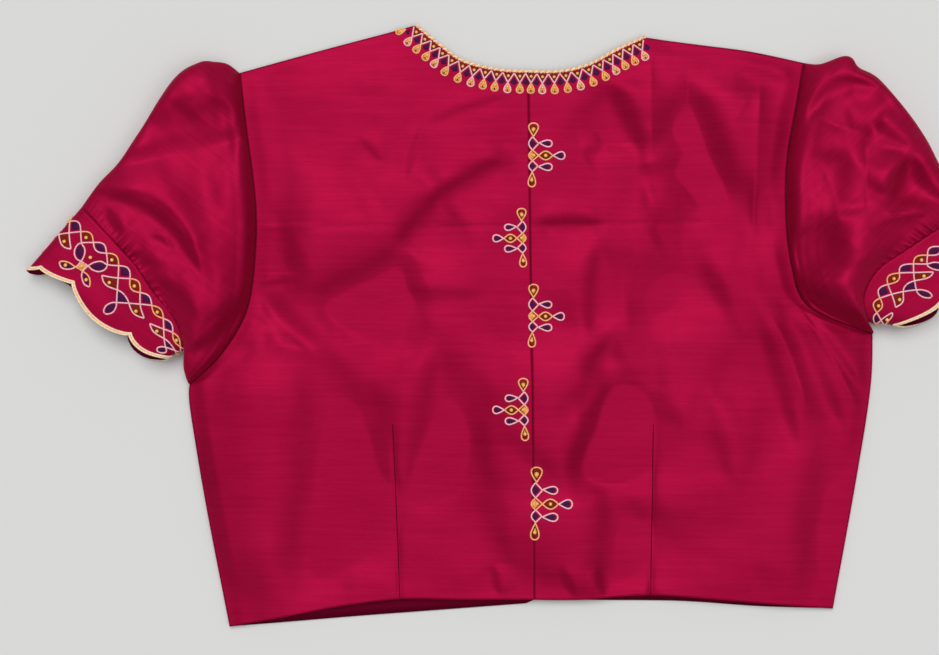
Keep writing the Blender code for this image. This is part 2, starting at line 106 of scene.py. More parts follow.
# Plan outlines. Columns: x, y.
CENTRE_LINE = {"neck": (-0.7, 172.0), "hem": (3.4, -185.0)}
LEFT = {
    "neck": [(-0.7, 172), (-20, 173), (-45, 179), (-62, 191), (-77.5, 204)],
    "shoulder": [(-77.5, 204), (-142, 187), (-196.5, 172)],
    "armhole": [
        (-196.5, 172), (-192.4, 137), (-186, 86), (-186, 50), (-192, 10), (-210, -20), (-230.5, -39.4),
    ],
    "side": [(-230.5, -39.4), (-230, -56), (-219, -122), (-203.3, -203.7)],
    "back_hem": [(3.4, -185), (-47, -185), (-88, -184.6), (-130, -190), (-169, -197.4), (-203.3, -203.7)],
    "front_hem": [(3.4, -187.6), (-60, -192.4), (-115, -196.5), (-169, -201), (-203.3, -203.7)],
    "sleeve_outer": [
        (-196.5, 172), (-204, 177.4), (-212.5, 178.7), (-222.6, 178), (-239.5, 166.5),
        (-263, 130.7), (-276.7, 110.5), (-290.2, 96.3), (-301.7, 80.7),
    ],
    "sleeve_inner": [(-230.5, -39.4), (-233, -27), (-231.4, -13.9)],
    "band_seam": [
        (-301.7, 80.7), (-288.4, 67.4), (-265.8, 43.1), (-252.4, 23.7), (-237.4, 3.6), (-231.4, -13.9),
    ],
    "band_hem": [(-336, 41), (-306, 28), (-268.6, -6), (-243, -20.5)],
}
RIGHT = {
    "neck": [(-0.7, 172), (21, 172), (40, 176.5), (60, 187), (79, 195.8)],
    "shoulder": [(79, 195.8), (116, 191), (150, 186.5), (186.3, 178.8)],
    "armhole": [(186.3, 178.8), (181, 150), (175, 115), (174, 80), (178, 41), (190, 13), (233, -5)],
    "side": [(233, -5), (231.5, -42), (221.7, -105), (206, -191.4)],
    "back_hem": [(3.4, -185), (35, -185), (82, -182), (130, -185.3), (168, -188.5), (206, -191.4)],
    "front_hem": [(3.4, -185.6), (50, -185.8), (103, -186.4), (157, -190), (206, -191.4)],
    "sleeve_outer": [
        (186.3, 178.8), (196.4, 177.4), (211, 182.3), (217.5, 181), (222, 174.5),
        (237, 165), (264, 130.7), (276.8, 107), (289, 94), (300, 82),
    ],
    "sleeve_inner": [(233, -5), (230, -1), (227, 3)],
    "band_seam": [(300, 82), (273.9, 65.9), (251, 51), (232, 37), (223, 20), (227, 3)],
    "band_hem": [(332, 41), (303, 34), (280, 24), (262, 13), (246, 1)],
}
OUTLINES = {"left": LEFT, "right": RIGHT}
FRONT_NECK = {
    "left": [(-0.7, 66), (-40, 78), (-64, 120), (-77.5, 204)],
    "right": [(-0.7, 66), (42, 78), (66, 118), (79, 195.8)],
}
# Back darts. Columns: apex x, apex y, hem x.
DARTS = {"left": (-92.5, -66, -87.7), "right": (84.3, -66, 82.3)}
DART_DEPTH = 1.1
DART_HALF_WIDTH = 1.6
DART_TAPER = 1 / 6

# Sleeve sections. Columns: share of the way to the band, height of the fold line, height of the top.
SLEEVE_HEIGHTS = [
    (0, 1.95, ARMHOLE_TOP), (0.02, 3.5, 10), (0.045, 5, 14), (0.12, 7, 18.5), (0.3, 8.4, 23.5),
    (0.5, 9, 26), (0.75, 9, 24.5), (1, 8, 21),
]
BAND_HEIGHTS = [(0, 8, 21), (0.5, 8, 20), (1, 9, 19)]
SEAM_UNDERSIDE = 1.3
SEAM_LIFT_START = 0.75
BAND_UNDERSIDE = 3.3
BAND_LIFT_END = 0.6
BAND_RIPPLE_START = 0.2
TOP_FULLNESS = 0.44
UNDERSIDE_FULLNESS = 0.45
UNDER_REACH = 2.2
SCALLOP_FULLNESS = 0.7
# Scallops round each band. Columns: where one starts, as a share of the ring from the outer fold
# over the top; how far it stands out.
SCALLOPS = {
    "left": [(0.053, 2.5), (0.155, 9.0), (0.364, 5.0), (0.5, 7.0), (0.655, 1.5), (0.94, 5.0)],
    "right": [(0.09, 8.0), (0.29, 8.5), (0.49, 13.0), (0.69, 7.0), (0.89, 8.0)],
}
# Small folds round a sleeve beside its band. Columns: how many, height, their middle and their reach as
# shares of the way to the band, how far they wander, how often they wander.
GATHERS = (13, 0.5, 0.9, 0.09, 1.0, 17)
PUCKERS = (61, 0.75, 1.0, 0.065, 1.5, 40)
# How uneven they are. Columns: size, times round, start.
GATHERS_UNEVEN = [(0.5, 5, 1), (0.3, 11, 0)]
GATHERS_BENEATH = 0.3
FOLDS_FADE = 0.06
FOLDS_END = 1.02
# The cloth's small unevenness. Columns: seed, longest wave, height.
RIPPLES = {
    "back": [(3, 70, 0.45), (4, 22, 0.07)],
    "sleeve": [(8, 60, 0.4), (9, 20, 0.1)],
    "band": [(12, 45, 0.45)],
}
RIPPLE_WAVES = 14

# The side that the light comes from, in plan: creases are dark where they turn away from it
LIGHT_SIDE = np.array((-0.22, 0.975))

# Creases of the back. Columns: x and y of one end, x and y of the other, bow towards the light,
# half width, tilt (the slope at its middle: above 0 is a dark face, below 0 a bright one).
BACK_CREASES = [
    (-12, 115, -66, 87, 2, 7, 0.48), (-61, 93, -91, 57, 0, 10, 0.46), (-84, 56, -152, 18, 0, 20, 0.5),
    (-16, 156, -67, 138, 2, 3, 0.24), (-74, 135, -85, 100, 0, 3, 0.2), (-95, 23, -33, 22, 0, 5, 0.24),
    (-182, 18, -146, -17, -5, 5, -0.3), (-146, -19, -166, -186, 0, 26, 0.24),
    (-62, -13, -80, -117, 3, 13, 0.26), (-40, -57, -14, -159, 0, 15, 0.13),
    (-25, -162, -20, -181, 0, 4, 0.22), (-186, 28, -182, -16, 0, 6, 0.12),
    (55, 164, 77, 119, 2, 10, 0.32), (112, 164, 138, 83, 2, 17, 0.26), (140, 178, 177, 166, 0, 8, 0.21),
    (75, 104, 113, 113, 0, 8, 0.32), (78, 73, 115, 82, 0, 11, 0.34),
    (3, 70, 50, 71, 1, 5, 0.57), (65, 40, 105, 38, 0, 20, 0.16), (46, 55, 40, -6, 2, 8, 0.24),
    (56, -4, 13, -62, 0, 9, 0.52), (62, -31, 26, -106, 5, 18, 0.52), (48, -40, 16, -81, 0, 5, -0.18),
    (52, -112, 45, -181, 0, 17, 0.26), (72, -60, 150, -54, 0, 26, -0.12),
    (119, -45, 138, -106, 0, 9, 0.16), (116, 44, 171, 62, 0, 22, -0.22), (75, -2, 137, 10, 0, 20, -0.18),
    (155, 8, 181, -77, 2, 8, 0.26), (173, 17, 215, -72, 2, 7, 0.26), (188, 10, 226, -42, 0, 4.5, 0.42),
    (194, -77, 184, -186, 0, 16, 0.14), (22, -47, 31, -70, 2, 3, 0.12), (36, 117, 50, 123, 0, 4, 0.3),
    (78, -186, 82, -176, 0, 2.5, 0.21), (-115, 128, -100, 112, 0, 4, 0.15),
    (22, -163, 31, -182, 0, 3, 0.27), (46, -163, 50, -183, 0, 4, 0.24), (-182, 28, -154, 32, 1, 2, 0.38),
]
# Crisp folds of the back. Columns as above, with the height of the crest in place of the tilt.
BACK_RIDGES = [
    (-139, 64, -74, 67, 1, 5, 0.5), (75, 109, 114, 119, 0, 5, 0.5), (156, 157, 152, 69, 1, 6, 1.5),
    (165, 4, 186, -51, 2, 5, 1.0), (184, 10, 220, -51, 2, 4.5, 1.1), (82, 180, 82, 120, 0, 5, 0.5),
    (107, 168, 109, 120, 0, 5, -0.5), (-63, 94, -16, 120, 1, 6, 0.5), (-85, 98, -71, 134, 0, 3, 0.3),
    (-190, 6, -156, -20, 4, 4, -0.3), (147, 154, 140, 140, 0, 4, 0.3),
]
# The line that a fold in the drawer pressed across the back, in the same columns.
PRESSED_LINES = [
    (-181, 67, -143, 67, 0, 1.3, 0.35), (-150, 67, 5, 68, 0, 1.3, -0.35), (0, 68, 146, 70, 1, 1.3, -0.35),
]
# Creases of each sleeve's top, in the same columns as the back's.
SLEEVE_CREASES = {
    "left": [
        (-262, 136, -200, 154, 2, 17, 0.75), (-240, 152, -214, 132, 0, 6, 0.32),
        (-275, 114, -196, 132, 0, 6, 0.68), (-292, 92, -219, 35, 14, 6, 0.63),
        (-271, 51, -247, 41, 0, 4, 0.32), (-254, 61, -237, 51, 2, 3, 0.32),
        (-247, 31, -221, 4, 2, 5, 0.25), (-228, -16, -187, 26, -3, 7, 1.2),
        (-225, -38, -194, 1, -3, 4, 0.8), (-207, 6, -229, -12, 0, 4, -0.4),
        (-284, 80, -272, 62, 0, 4, 0.32), (-239, 140, -224, 150, 0, 5, -0.32),
        (-206, 104, -212, 20, 0, 14, -0.14), (-258, 66, -206, 76, 0, 26, -0.15),
    ],
    "right": [
        (186, 141, 236, 160, 14, 5, 1.12), (212, 150, 238, 148, 0, 9, 0.47),
        (228, 139, 256, 118, 0, 7, 0.72), (254, 116, 240, 84, 0, 7, 0.63),
        (228, 66, 266, 76, 0, 4, 0.57), (180, 31, 226, 4, 0, 9, 0.97), (182, 20, 236, 2, -2, 4, 0.97),
        (250, 117, 276, 84, 0, 7, 0.47), (196, 74, 214, 34, 0, 14, 0.39),
        (264, 98, 247, 71, 0, 8, -0.25), (234, 160, 262, 130, 0, 5, 0.4),
        (214, 116, 206, 80, 0, 9, -0.25), (188, 116, 187, 44, 0, 12, 0.14),
    ],
}
# Crisp folds of each sleeve's top, in the same columns as the back's.
SLEEVE_RIDGES = {
    "left": [
        (-221, 166, -199, 162, 1, 4, 0.9), (-217, 157, -194, 138, 4, 7, 1.3),
        (-276, 106, -194, 126, 1, 9, -2.0), (-240, 160, -233, 124, 4, 8, 0.7),
        (-268, 90, -224, 50, 8, 5, -0.6), (-226, -10, -190, 26, 0, 5, -0.8),
        (-290, 84, -262, 92, 1, 5, 0.5), (-234, 44, -204, 12, 0, 7, 0.5),
        (-262, 74, -240, 50, 3, 4, 0.3),
    ],
    "right": [
        (187, 143, 226, 162, 12, 7, -1.5), (191, 143, 208, 132, 0, 7, 1.2),
        (206, 134, 255, 117, 1, 10, 1.7), (254, 118, 230, 92, 0, 9, 1.4),
        (224, 123, 224, 79, 0, 2, -0.3), (236, 75, 254, 76, 0, 2.5, 0.6), (226, 66, 264, 73, 1, 5, -0.6),
        (184, 24, 230, 2, 0, 5, -0.9), (196, 108, 206, 66, 2, 7, 0.5), (258, 112, 278, 84, 0, 8, 1.0),
        (205, 60, 236, 34, 2, 12, 1.1),
    ],
}
SLEEVE_GRAIN = {"left": 37.0, "right": -44.0}

# Two broad soft lights. Columns: name, x and y of the side it comes from, elevation, strength, breadth.
LIGHTS = [("window", -0.22, 0.975, 64.0, 1.7, 38.0), ("bounce", 0.8, -0.6, 68.0, 0.75, 50.0)]
# The room's strength, and the silk's gloss and shine
ROOM_STRENGTH = 0.33
SILK_GLOSS = 0.26
SILK_SHINE = 0.42
# Folds: where a crease has evened out, in half widths, how a crest's height counts, the most that all
# of them rise, how far a line runs past its ends and fades, and how lines side on to the light gain
CREASE_REACH = 2.8
RIDGE_STRENGTH = 1.4
MOST_FOLD = {"back": 7.0, "sleeve": 12.0}
LINE_PAST_END = 0.12
LINE_FADE = 0.34
WEAKEST_FACING = 0.45
FACING_POWER = 0.7

# Linear colours
RASPBERRY = (0.355, 0.0036, 0.041)
RASPBERRY_DEEP = (0.255, 0.0012, 0.026)
SHEEN_TINT = (1.0, 0.09, 0.26)
# Painted shade: the inner faces, the strip behind the opening and the front's upper face take the dark
# maroon of the shade under the back's hem
INSIDE_PAINTED_SHADE = (0.10, 0.001, 0.014)
FLOOR_COLOUR = (0.665, 0.665, 0.66)
# Threads, fills and beads. Columns: kind, name, colour, roughness, gloss.
THREADS = [
    ("pink", "pink_thread", (1.0, 0.56, 0.6), 0.5, 0.4),
    ("gold", "gold_thread", (1.0, 0.5, 0.19), 0.45, 0.5),
    ("purple", "purple_thread", (0.06, 0.004, 0.055), 0.6, 0.08),
    ("brown", "brown_thread", (0.2, 0.012, 0.002), 0.6, 0.08),
    ("ochre", "ochre_thread", (0.9, 0.4, 0.07), 0.5, 0.4),
    ("bead", "yellow_beads", (1.0, 0.56, 0.11), 0.25, 0.6),
    ("cream", "cream_cord", (1.0, 0.8, 0.56), 0.5, 0.4),
    # The darts' seam line: a stitched line whose dark colour is painted shade of each dart's fold
    ("seam", "dart_seam_painted_shade", (0.10, 0.001, 0.012), 0.8, 0.05),
]

# Embroidery: the threads' radius, how high threads and fills lie, the steps along a thread, and beads
THREAD_RADIUS = 0.54
THREAD_LIFT = 0.3
THREAD_STEP = 0.5
STITCH_LENGTH = 1.7
FILL_LIFT = 0.12
FILL_DOME = 0.35
# A fill's rings. Columns: size, share of the dome's height.
FILL_RINGS = [(1, 0), (0.75, 0.6), (0.45, 0.92), (0.02, 1)]
FILL_POINTS = 20
BEAD_RADIUS = 1.25
BEAD_GRID = (7, 10)
SEAM_RADIUS = 0.32
# Sizes of the fills, as shares of the lines round them
LOOP_FILL = 0.72
LOOP_CENTRE = 0.4
CELL_FILL = 0.66
EYE_FILL = 0.78
DROP_FILL = 0.75
CHAIN_FILL = 0.68
# The bands' cord: points round it, where it lies, and its strands. Columns: off its middle, lift,
# radius, kind.
SCALLOP_POINTS = 420
CORD_UP_FROM_EDGE = 1.5
SCALLOP_STRANDS = [(0.85, 0.5, 0.62, "cream"), (0, 0.62, 0.45, "gold"), (-0.85, 0.5, 0.62, "cream")]
CORD_STITCH = 2.2
# The neck's cord: one turn of its twist, and its radius at the back and at the front
CORD_TURN = 4.2
BACK_CORD_RADIUS = 1.2
FRONT_CORD_RADIUS = 0.7
FRONT_CORD_LEVEL = 0.8
NECK_POINTS = 80

# The stack motif, in units of its half height, with x away from the centre line and y up.
# Drops and loops. Columns: x and y of the crossing, x and y of the round end, width, thread, fill.
MOTIF_LOOPS = [
    (0.02, 0.57, 0.02, 1.0, 0.30, "gold", "brown"),
    (-0.02, -0.52, -0.04, -1.0, 0.23, "gold", "brown"),
    (0.18, 0.38, 0.60, 0.35, 0.21, "pink", "purple"),
    (0.62, -0.02, 1.0, -0.02, 0.24, "pink", "purple"),
    (0.16, -0.37, 0.60, -0.38, 0.22, "pink", "purple"),
]
# Its stacked cells. Columns: upper y, lower y, reach of the point towards the branch, thread, fill.
MOTIF_CELLS = [
    (0.57, 0.15, 0.18, "pink", "purple"),
    (0.15, -0.18, 0.18, "gold", "ochre"),
    (-0.18, -0.52, 0.16, "pink", "purple"),
]
MOTIF_CELL_BULGE = 0.12
# Its eye on the middle branch. Columns: x of the two ends, y, width.
MOTIF_EYE = (0.18, 0.62, -0.02, 0.27)
# Its beads. Columns: x, y.
MOTIF_BEADS = [(0.01, 0.79), (-0.04, -0.79), (0.02, -0.01), (0.40, -0.02)]
# The five motifs down the centre opening. Columns: x and y of the middle of its stack, half height,
# the side that its branches point to.
MOTIFS = [
    (2.4, 116.0, 21.6, 1), (-4.9, 60.0, 19.8, -1), (2.4, 7.2, 21.2, 1), (-3.8, -56.0, 20.9, -1),
    (4.4, -119.5, 24.4, 1),
]

# The neck's border: repeats along the edge. Points of one repeat: steps along the edge, how far down.
NECK_REPEATS = 22.3
NECK_FILLS = {
    "brown": [(0.12, 0.9), (0.88, 0.9), (0.5, 6.3)],
    "purple": [(1, 3.0), (1.3, 7.2), (1, 8.8), (0.7, 7.2)],
}
NECK_THREADS = [[(0, 0.8), (0.5, 7.2)], [(0.5, 7.2), (1, 0.8)]]
NECK_DROP = [(0.5, 7.2), (0.5, 14.2)]
NECK_DROP_WIDTH = 4.6
NECK_BEAD = (0.5, 2.9)
NECK_BEAD_RADIUS = 1.05
# Beads on a drop. Columns: share of the way down it, radius, kind.
DROP_BEADS = [(0.45, 1.0, "bead"), (0.76, 0.6, "brown")]
NECK_CORD_OFF = 0.6
# The front's first repeat, over the left shoulder. Points: along the shoulder seam, down from it.
TURNED_DROP = [(6.5, 1.0), (13.5, 1.6)]
TURNED_DROP_WIDTH = 3.6
TURNED_BEAD = (11.0, 1.45)
TURNED_BEAD_RADIUS = 0.75
TURNED_FILL = [(3.5, 1.6), (7.5, 2.2), (6.0, 5.4)]

# The bands' looped line, in units of one cell of the chain, with u along the band and v towards the
# hem. A pendant hangs from three cells. Line: its points; curves are smooth between them.
PENDANT_LINES = {
    "leaf": [
        ("pink", [(0.5, 0), (1.0, 0.5), (1.35, 0.8), (1.78, 1.12)]),
        ("pink", [(1.78, 1.12), (1.45, 1.28), (1.12, 1.28), (0.8, 1.14), (0.5, 0.97), (0.25, 0.87),
                  (0, 0.84)]),
        ("pink", [(1.5, 0), (1.0, 0.5), (0.5, 1.0), (0, 1.5), (-0.2, 1.75), (-0.28, 2.1), (-0.14, 2.4),
                  (0, 2.45)]),
    ],
    "gold": [
        ("pink", [(1.5, 0), (1.0, 0.45), (0.62, 0.6), (0.36, 0.95), (0.25, 1.38), (0.25, 1.85), (0.45, 2.15),
                  (0.85, 2.3), (1.22, 2.12)]),
        ("pink", [(0.5, 0), (1.0, 0.45), (1.1, 0.75), (0.95, 1.12), (0.6, 1.36), (0.25, 1.38), (0, 1.38)]),
        ("gold", [(0, 1.85), (0.25, 1.85), (0.7, 1.8), (1.05, 1.93), (1.22, 2.12)]),
    ],
}
# Fills, for the right side of a pendant or its middle. Columns: fill, mirrored, corner points.
PENDANT_FILLS = {
    "leaf": [
        ("brown", True, [(0.64, 0.98), (1.0, 0.64), (1.32, 0.88), (1.6, 1.1), (1.42, 1.2), (1.15, 1.2),
                         (0.86, 1.08)]),
        ("purple", False, [(0, 0.9), (0.4, 0.98), (0.42, 1.03), (0, 1.42), (-0.42, 1.03), (-0.4, 0.98)]),
        ("purple", False, [(0, 1.62), (0.16, 1.82), (0.2, 2.1), (0.1, 2.32), (-0.1, 2.32), (-0.2, 2.1),
                           (-0.16, 1.82)]),
    ],
    "gold": [
        ("purple", True, [(0.95, 0.55), (1.02, 0.75), (0.88, 1.08), (0.58, 1.28), (0.34, 1.3), (0.44, 0.98),
                          (0.66, 0.68)]),
        ("ochre", False, [(0.2, 1.43), (0.2, 1.8), (-0.2, 1.8), (-0.2, 1.43)]),
        ("purple", True, [(0.36, 1.9), (0.7, 1.88), (1.02, 2.02), (1.1, 2.12), (0.85, 2.2), (0.52, 2.1)]),
    ],
}
PENDANT_BEADS = {
    "leaf": [(1.15, 1.05), (-1.15, 1.05)],
    "gold": [(0, 0.85), (0, 1.62), (0.78, 2.04), (-0.78, 2.04)],
}
# The chain's three cells over each pendant, from one side to the other, and a cell between pendants.
# A brown cell has a bead and gold threads.
CHAIN_FILLS = {
    "leaf": ("purple", "brown", "purple"), "gold": ("brown", "purple", "brown"), "plain": ("brown",),
}
CHAIN_BULGE = 0.3
CHAIN_TIP = {"leaf": 0.5, "gold": 0.45}
# Pendants in order from the outer fold, over the top and back beneath
BAND_ORDER = ("leaf", "gold", "leaf", "plain", "leaf", "gold", "leaf", "gold")
BAND_DEPTH = 46.0
# How far the chain's middle lies from the band's seam at the outer fold, and past the third pendant
CHAIN_FROM_SEAM = {"left": (12.4, 8.2), "right": (11.8, 11.8)}
# Where the third pendant's middle lies, as a share of the way from the outer fold to the underarm
THIRD_PENDANT = {"left": 0.54, "right": 0.665}


# Lines and plans, for whole arrays of shares at once


def ease(share):
    held = np.clip(share, 0, 1)
    return held * held * (3 - 2 * held)


def unit(vectors):
    return vectors / np.maximum(np.linalg.norm(vectors, axis=-1, keepdims=True), 1e-9)


def left_of(run):
    """Unit vectors in plan, square to a run and on its left."""
    return unit(np.stack([-run[..., 1], run[..., 0]], axis=-1))


def raised(place, height):
    """Plan points with their heights."""
    return np.concatenate([place, np.broadcast_to(height, place.shape[:-1])[..., None]], axis=-1)


def reach_along(points):
    """How far each point lies from the first one, along the line."""
    return np.concatenate([[0], np.cumsum(np.linalg.norm(np.diff(points, axis=0), axis=1))])


def straight_line(points):
    fixed = np.asarray(points, float)
    reach = reach_along(fixed)

    def at(share):
        want = np.clip(share, 0, 1) * reach[-1]
        return np.stack([np.interp(want, reach, fixed[:, i]) for i in range(fixed.shape[1])], axis=-1)

    at.length = reach[-1]
    return at


def smooth_line(points, steps=10):
    fixed = np.asarray(points, float)
    held = np.vstack([fixed[:1], fixed, fixed[-1:]])
    t = (np.arange(steps) / steps)[:, None]
    runs = [
        0.5 * (2 * start + (end - before) * t + (2 * before - 5 * start + 4 * end - after) * t**2
               + (3 * start - before - 3 * end + after) * t**3)
        for before, start, end, after in zip(held, held[1:], held[2:], held[3:])
    ]
    return straight_line(np.vstack([*runs, fixed[-1:]]))


def two_lines(first, second, split):
    def at(share):
        share = np.asarray(share, float)
        beyond = second((share - split) / (1 - split))
        return np.where((share <= split)[..., None], first(share / split), beyond)

    return at


def patch(top, bottom, start, end):
    """A plan filled between four edges: top and bottom run across, start and end run down."""

    def at(across, down):
        across, down = np.broadcast_arrays(np.asarray(across, float), np.asarray(down, float))
        a, d = across[..., None], down[..., None]
        corners = (
            top(0) * (1 - a) * (1 - d) + top(1) * a * (1 - d) + bottom(0) * (1 - a) * d + bottom(1) * a * d
        )
        return top(across) * (1 - d) + bottom(across) * d + start(down) * (1 - a) + end(down) * a - corners

    return at


def side_edge(outline):
    return two_lines(smooth_line(outline["armhole"]), smooth_line(outline["side"]), ARMHOLE_SHARE)


def half_plan(outline, neck, hem, neck_share):
    top = two_lines(smooth_line(neck), smooth_line(outline["shoulder"]), neck_share)
    return patch(top, smooth_line(hem), straight_line([neck[0], hem[0]]), side_edge(outline))


def back_plan(outline):
    return half_plan(outline, outline["neck"], outline["back_hem"], NECK_SHARE)


def beside_lines(rows, place):
    """For each bowed line: distance off it in half widths, its fading at the ends, its width and size."""
    for x1, y1, x2, y2, bow, half_width, size in rows:
        run = np.array((x2 - x1, y2 - y1), float)
        normal = left_of(run)
        facing = normal @ LIGHT_SIDE
        if facing < 0:
            normal = -normal
        from_start = place - (x1, y1)
        along = from_start @ run / (run @ run)
        spread = half_width * (0.5 + 0.5 * np.sin(math.pi * np.clip(along, 0, 1)))
        off = (from_start @ normal - 4 * bow * along * (1 - along)) / spread
        fade = ease((along + LINE_PAST_END) / LINE_FADE) * ease((1 + LINE_PAST_END - along) / LINE_FADE)
        yield off, fade, spread, size / max(WEAKEST_FACING, abs(facing)) ** FACING_POWER


def crease_height(rows, place):
    """Soft steps: each crease is a face that tilts across its width and evens out slowly on both sides."""
    return sum(
        tilt * spread * np.tanh(off) * np.exp(-((off / CREASE_REACH) ** 2)) * fade
        for off, fade, spread, tilt in beside_lines(rows, place)
    )


def ridge_height(rows, place):
    """Crisp folds: each has a sharp crest, or a sharp valley, and falls off softly on both sides."""
    return sum(
        RIDGE_STRENGTH * height * np.exp(-np.sqrt(off * off + 0.01)) * fade
        for off, fade, _, height in beside_lines(rows, place)
    )


def held(folds, most):
    """Heights that never pass the most, and are hardly changed where they are small."""
    return most * np.tanh(folds / most)


def ripples(place, rows):
    """Small unevenness of the cloth: sums of seeded waves of unlike lengths and directions."""
    total = np.zeros(place.shape[:-1])
    for seed, longest, height in rows:
        rng = np.random.default_rng(seed)
        for _ in range(RIPPLE_WAVES):
            turn, phase = rng.uniform(0, math.tau, 2)
            wave = longest * rng.uniform(0.35, 1)
            waves = np.sin(place @ (math.cos(turn), math.sin(turn)) * math.tau / wave + phase)
            total += waves * wave / longest * height / 3
    return total


# Meshes


def link(thing):
    bpy.context.scene.collection.objects.link(thing)
    return thing


def mesh_object(name, points, faces, finishes, kinds=None):
    """A smooth object from points in millimetres and faces of three or four corners."""
    mesh = bpy.data.meshes.new(name)
    mesh.from_pydata((points * MM).tolist(), [], faces)
    mesh.update()
    mesh.shade_smooth()
    for look in finishes:
        mesh.materials.append(look)
    if kinds is not None:
        mesh.polygons.foreach_set("material_index", kinds)
    return link(bpy.data.objects.new(name, mesh))


def grid_faces(rows, columns, closed=False):
    index = np.arange(rows * columns).reshape(rows, columns)
    if closed:
        index = np.hstack([index, index[:, :1]])
    return np.stack([index[:-1, :-1], index[1:, :-1], index[1:, 1:], index[:-1, 1:]], axis=-1).reshape(-1, 4)


def shell(thing, thickness):
    """A wall on the inner side of the grid's own surface, with the second finish on its inner face."""
    wall = thing.modifiers.new("cloth", "SOLIDIFY")
    wall.thickness = thickness * MM
    wall.offset = -1
    wall.use_even_offset = False
    wall.material_offset = 1
    return thing


def outward(normals, points):
    """The normals, turned away from the middle of their points."""
    away = points - points.reshape(-1, 3).mean(axis=0)
    return normals if (normals * away).sum() > 0 else -normals


def facing_out(points, closed):
    """Whether a grid's faces point up, or out from the middle of a tube."""
    step_down = points[1:, :-1] - points[:-1, :-1]
    step_across = points[:-1, 1:] - points[:-1, :-1]
    normal = np.cross(step_down, step_across)
    if not closed:
        return normal[..., 2].sum() > 0
    return (normal * (points[:-1, :-1] - points.mean(axis=(0, 1)))).sum() > 0


def cloth(name, points, closed, thickness, finishes):
    """A cloth wall on a grid of points, its own surface the outer one."""
    if not facing_out(points, closed):
        points = points[:, ::-1]
    rows, columns = points.shape[:2]
    made = mesh_object(name, points.reshape(-1, 3), grid_faces(rows, columns, closed).tolist(), finishes)
    return shell(made, thickness)


# Panels


def dart_groove(side, place):
    apex_x, apex_y, hem_x = DARTS[side]
    down = (apex_y - place[..., 1]) / (apex_y - CENTRE_LINE["hem"][1])
    off = (place[..., 0] - apex_x - (hem_x - apex_x) * down) / DART_HALF_WIDTH
    return -DART_DEPTH * ease(down / DART_TAPER) * np.exp(-np.abs(off))


def back_top(side, plan, across, down):
    """Height of the back's upper face above the table."""
    place = plan(across, down)
    to_side = np.linalg.norm(plan(1, down) - place, axis=-1)
    to_top = np.linalg.norm(plan(across, 0) - place, axis=-1)
    shoulder = ease((across - NECK_SHARE) / (2 * NECK_CORNER) + 0.5)
    crown = CROWN * ease(to_side / CROWN_WIDTH) * (1 - shoulder * (1 - ease(to_top / SHOULDER_CROWN_WIDTH)))
    beside_sleeve = ease(down / ARMHOLE_FADE) * ease((ARMHOLE_SHARE - down) / ARMHOLE_FADE)
    armhole = (ARMHOLE_TOP - SEAM_TOP) * beside_sleeve * (1 - ease(to_side / ARMHOLE_WIDTH))
    loose = FOLDS_AT_SIDE + (1 - FOLDS_AT_SIDE) * ease(to_side / SEAM_WIDTH)
    loose = loose * (1 - shoulder * (1 - ease(to_top / SEAM_WIDTH)))
    folds = crease_height(BACK_CREASES, place) + ridge_height(BACK_RIDGES, place)
    folds = held(folds + ripples(place, RIPPLES["back"]), MOST_FOLD["back"]) + FOLDS_LIFT
    lines = ridge_height(PRESSED_LINES, place) + dart_groove(side, place)
    height = SEAM_TOP + crown + armhole + folds * loose + lines
    beside_centre = ease((CENTRE_END - across) / (CENTRE_END - CENTRE_START))
    least = LEAST_ELSEWHERE + (LEAST_AT_CENTRE - LEAST_ELSEWHERE) * beside_centre
    over = height - least
    return least + np.where(over > 0, over, UNDER_LEAST * over)


def back_half(side, finishes):
    plan = back_plan(OUTLINES[side])
    columns, rows = (round(size / CELL) for size in BACK_SIZE)
    across, down = np.meshgrid(np.linspace(0, 1, columns + 1), np.linspace(0, 1, rows + 1))
    place = plan(across, down)
    height = back_top(side, plan, across, down)
    place[:, 0, 0] += (-1 if side == "left" else 1) * OPENING_GAP / 2
    return cloth(f"back_{side}_silk", raised(place, height), False, SHELL, finishes)


def underlap(finish):
    """The strip behind the centre opening, level beneath the two backs' edges."""
    columns, rows = UNDERLAP_GRID
    shares = np.linspace(-UNDERLAP_SHARE, UNDERLAP_SHARE, columns)
    across, down = np.meshgrid(shares, np.linspace(0, 1, rows))
    left, right = back_plan(LEFT)(-across, down), back_plan(RIGHT)(across, down)
    place = np.where((across < 0)[..., None], left, right)
    level = LEAST_AT_CENTRE - CLOTH - SEAM_GAP
    # Both faces take the inner finish, whose dark colour is painted shade
    return cloth("back_underlap_silk", raised(place, level), False, UNDERLAP_CLOTH, [finish, finish])


def front_sheet(finishes):
    columns, rows = FRONT_GRID
    across, down = np.meshgrid(np.linspace(0, 1, columns), np.linspace(0, 1, rows))
    left, right = (
        half_plan(outline, FRONT_NECK[side], outline["front_hem"], FRONT_NECK_SHARE)(across, down)
        for side, outline in OUTLINES.items()
    )
    place = np.concatenate([left[:, :0:-1], right], axis=1)
    return cloth("front_silk", raised(place, CLOTH), False, CLOTH, finishes)


# Sleeves and bands


def armhole_seam(outline):
    edge = side_edge(outline)
    corners = edge(np.arange(ARMHOLE_ROWS + 1) * ARMHOLE_SHARE / ARMHOLE_ROWS)
    way = -1 if corners[0][0] < 0 else 1
    doubled = np.vstack([corners[:1], corners, corners[-1:]])
    return straight_line(corners + left_of(doubled[2:] - doubled[:-2]) * SLEEVE_GAP * way)


def sleeve_plan(outline):
    armhole, seam = armhole_seam(outline), smooth_line(outline["band_seam"])
    outer = smooth_line([armhole(0), *outline["sleeve_outer"][1:]])
    inner = smooth_line([armhole(1), *outline["sleeve_inner"][1:]])
    return patch(armhole, seam, outer, inner)


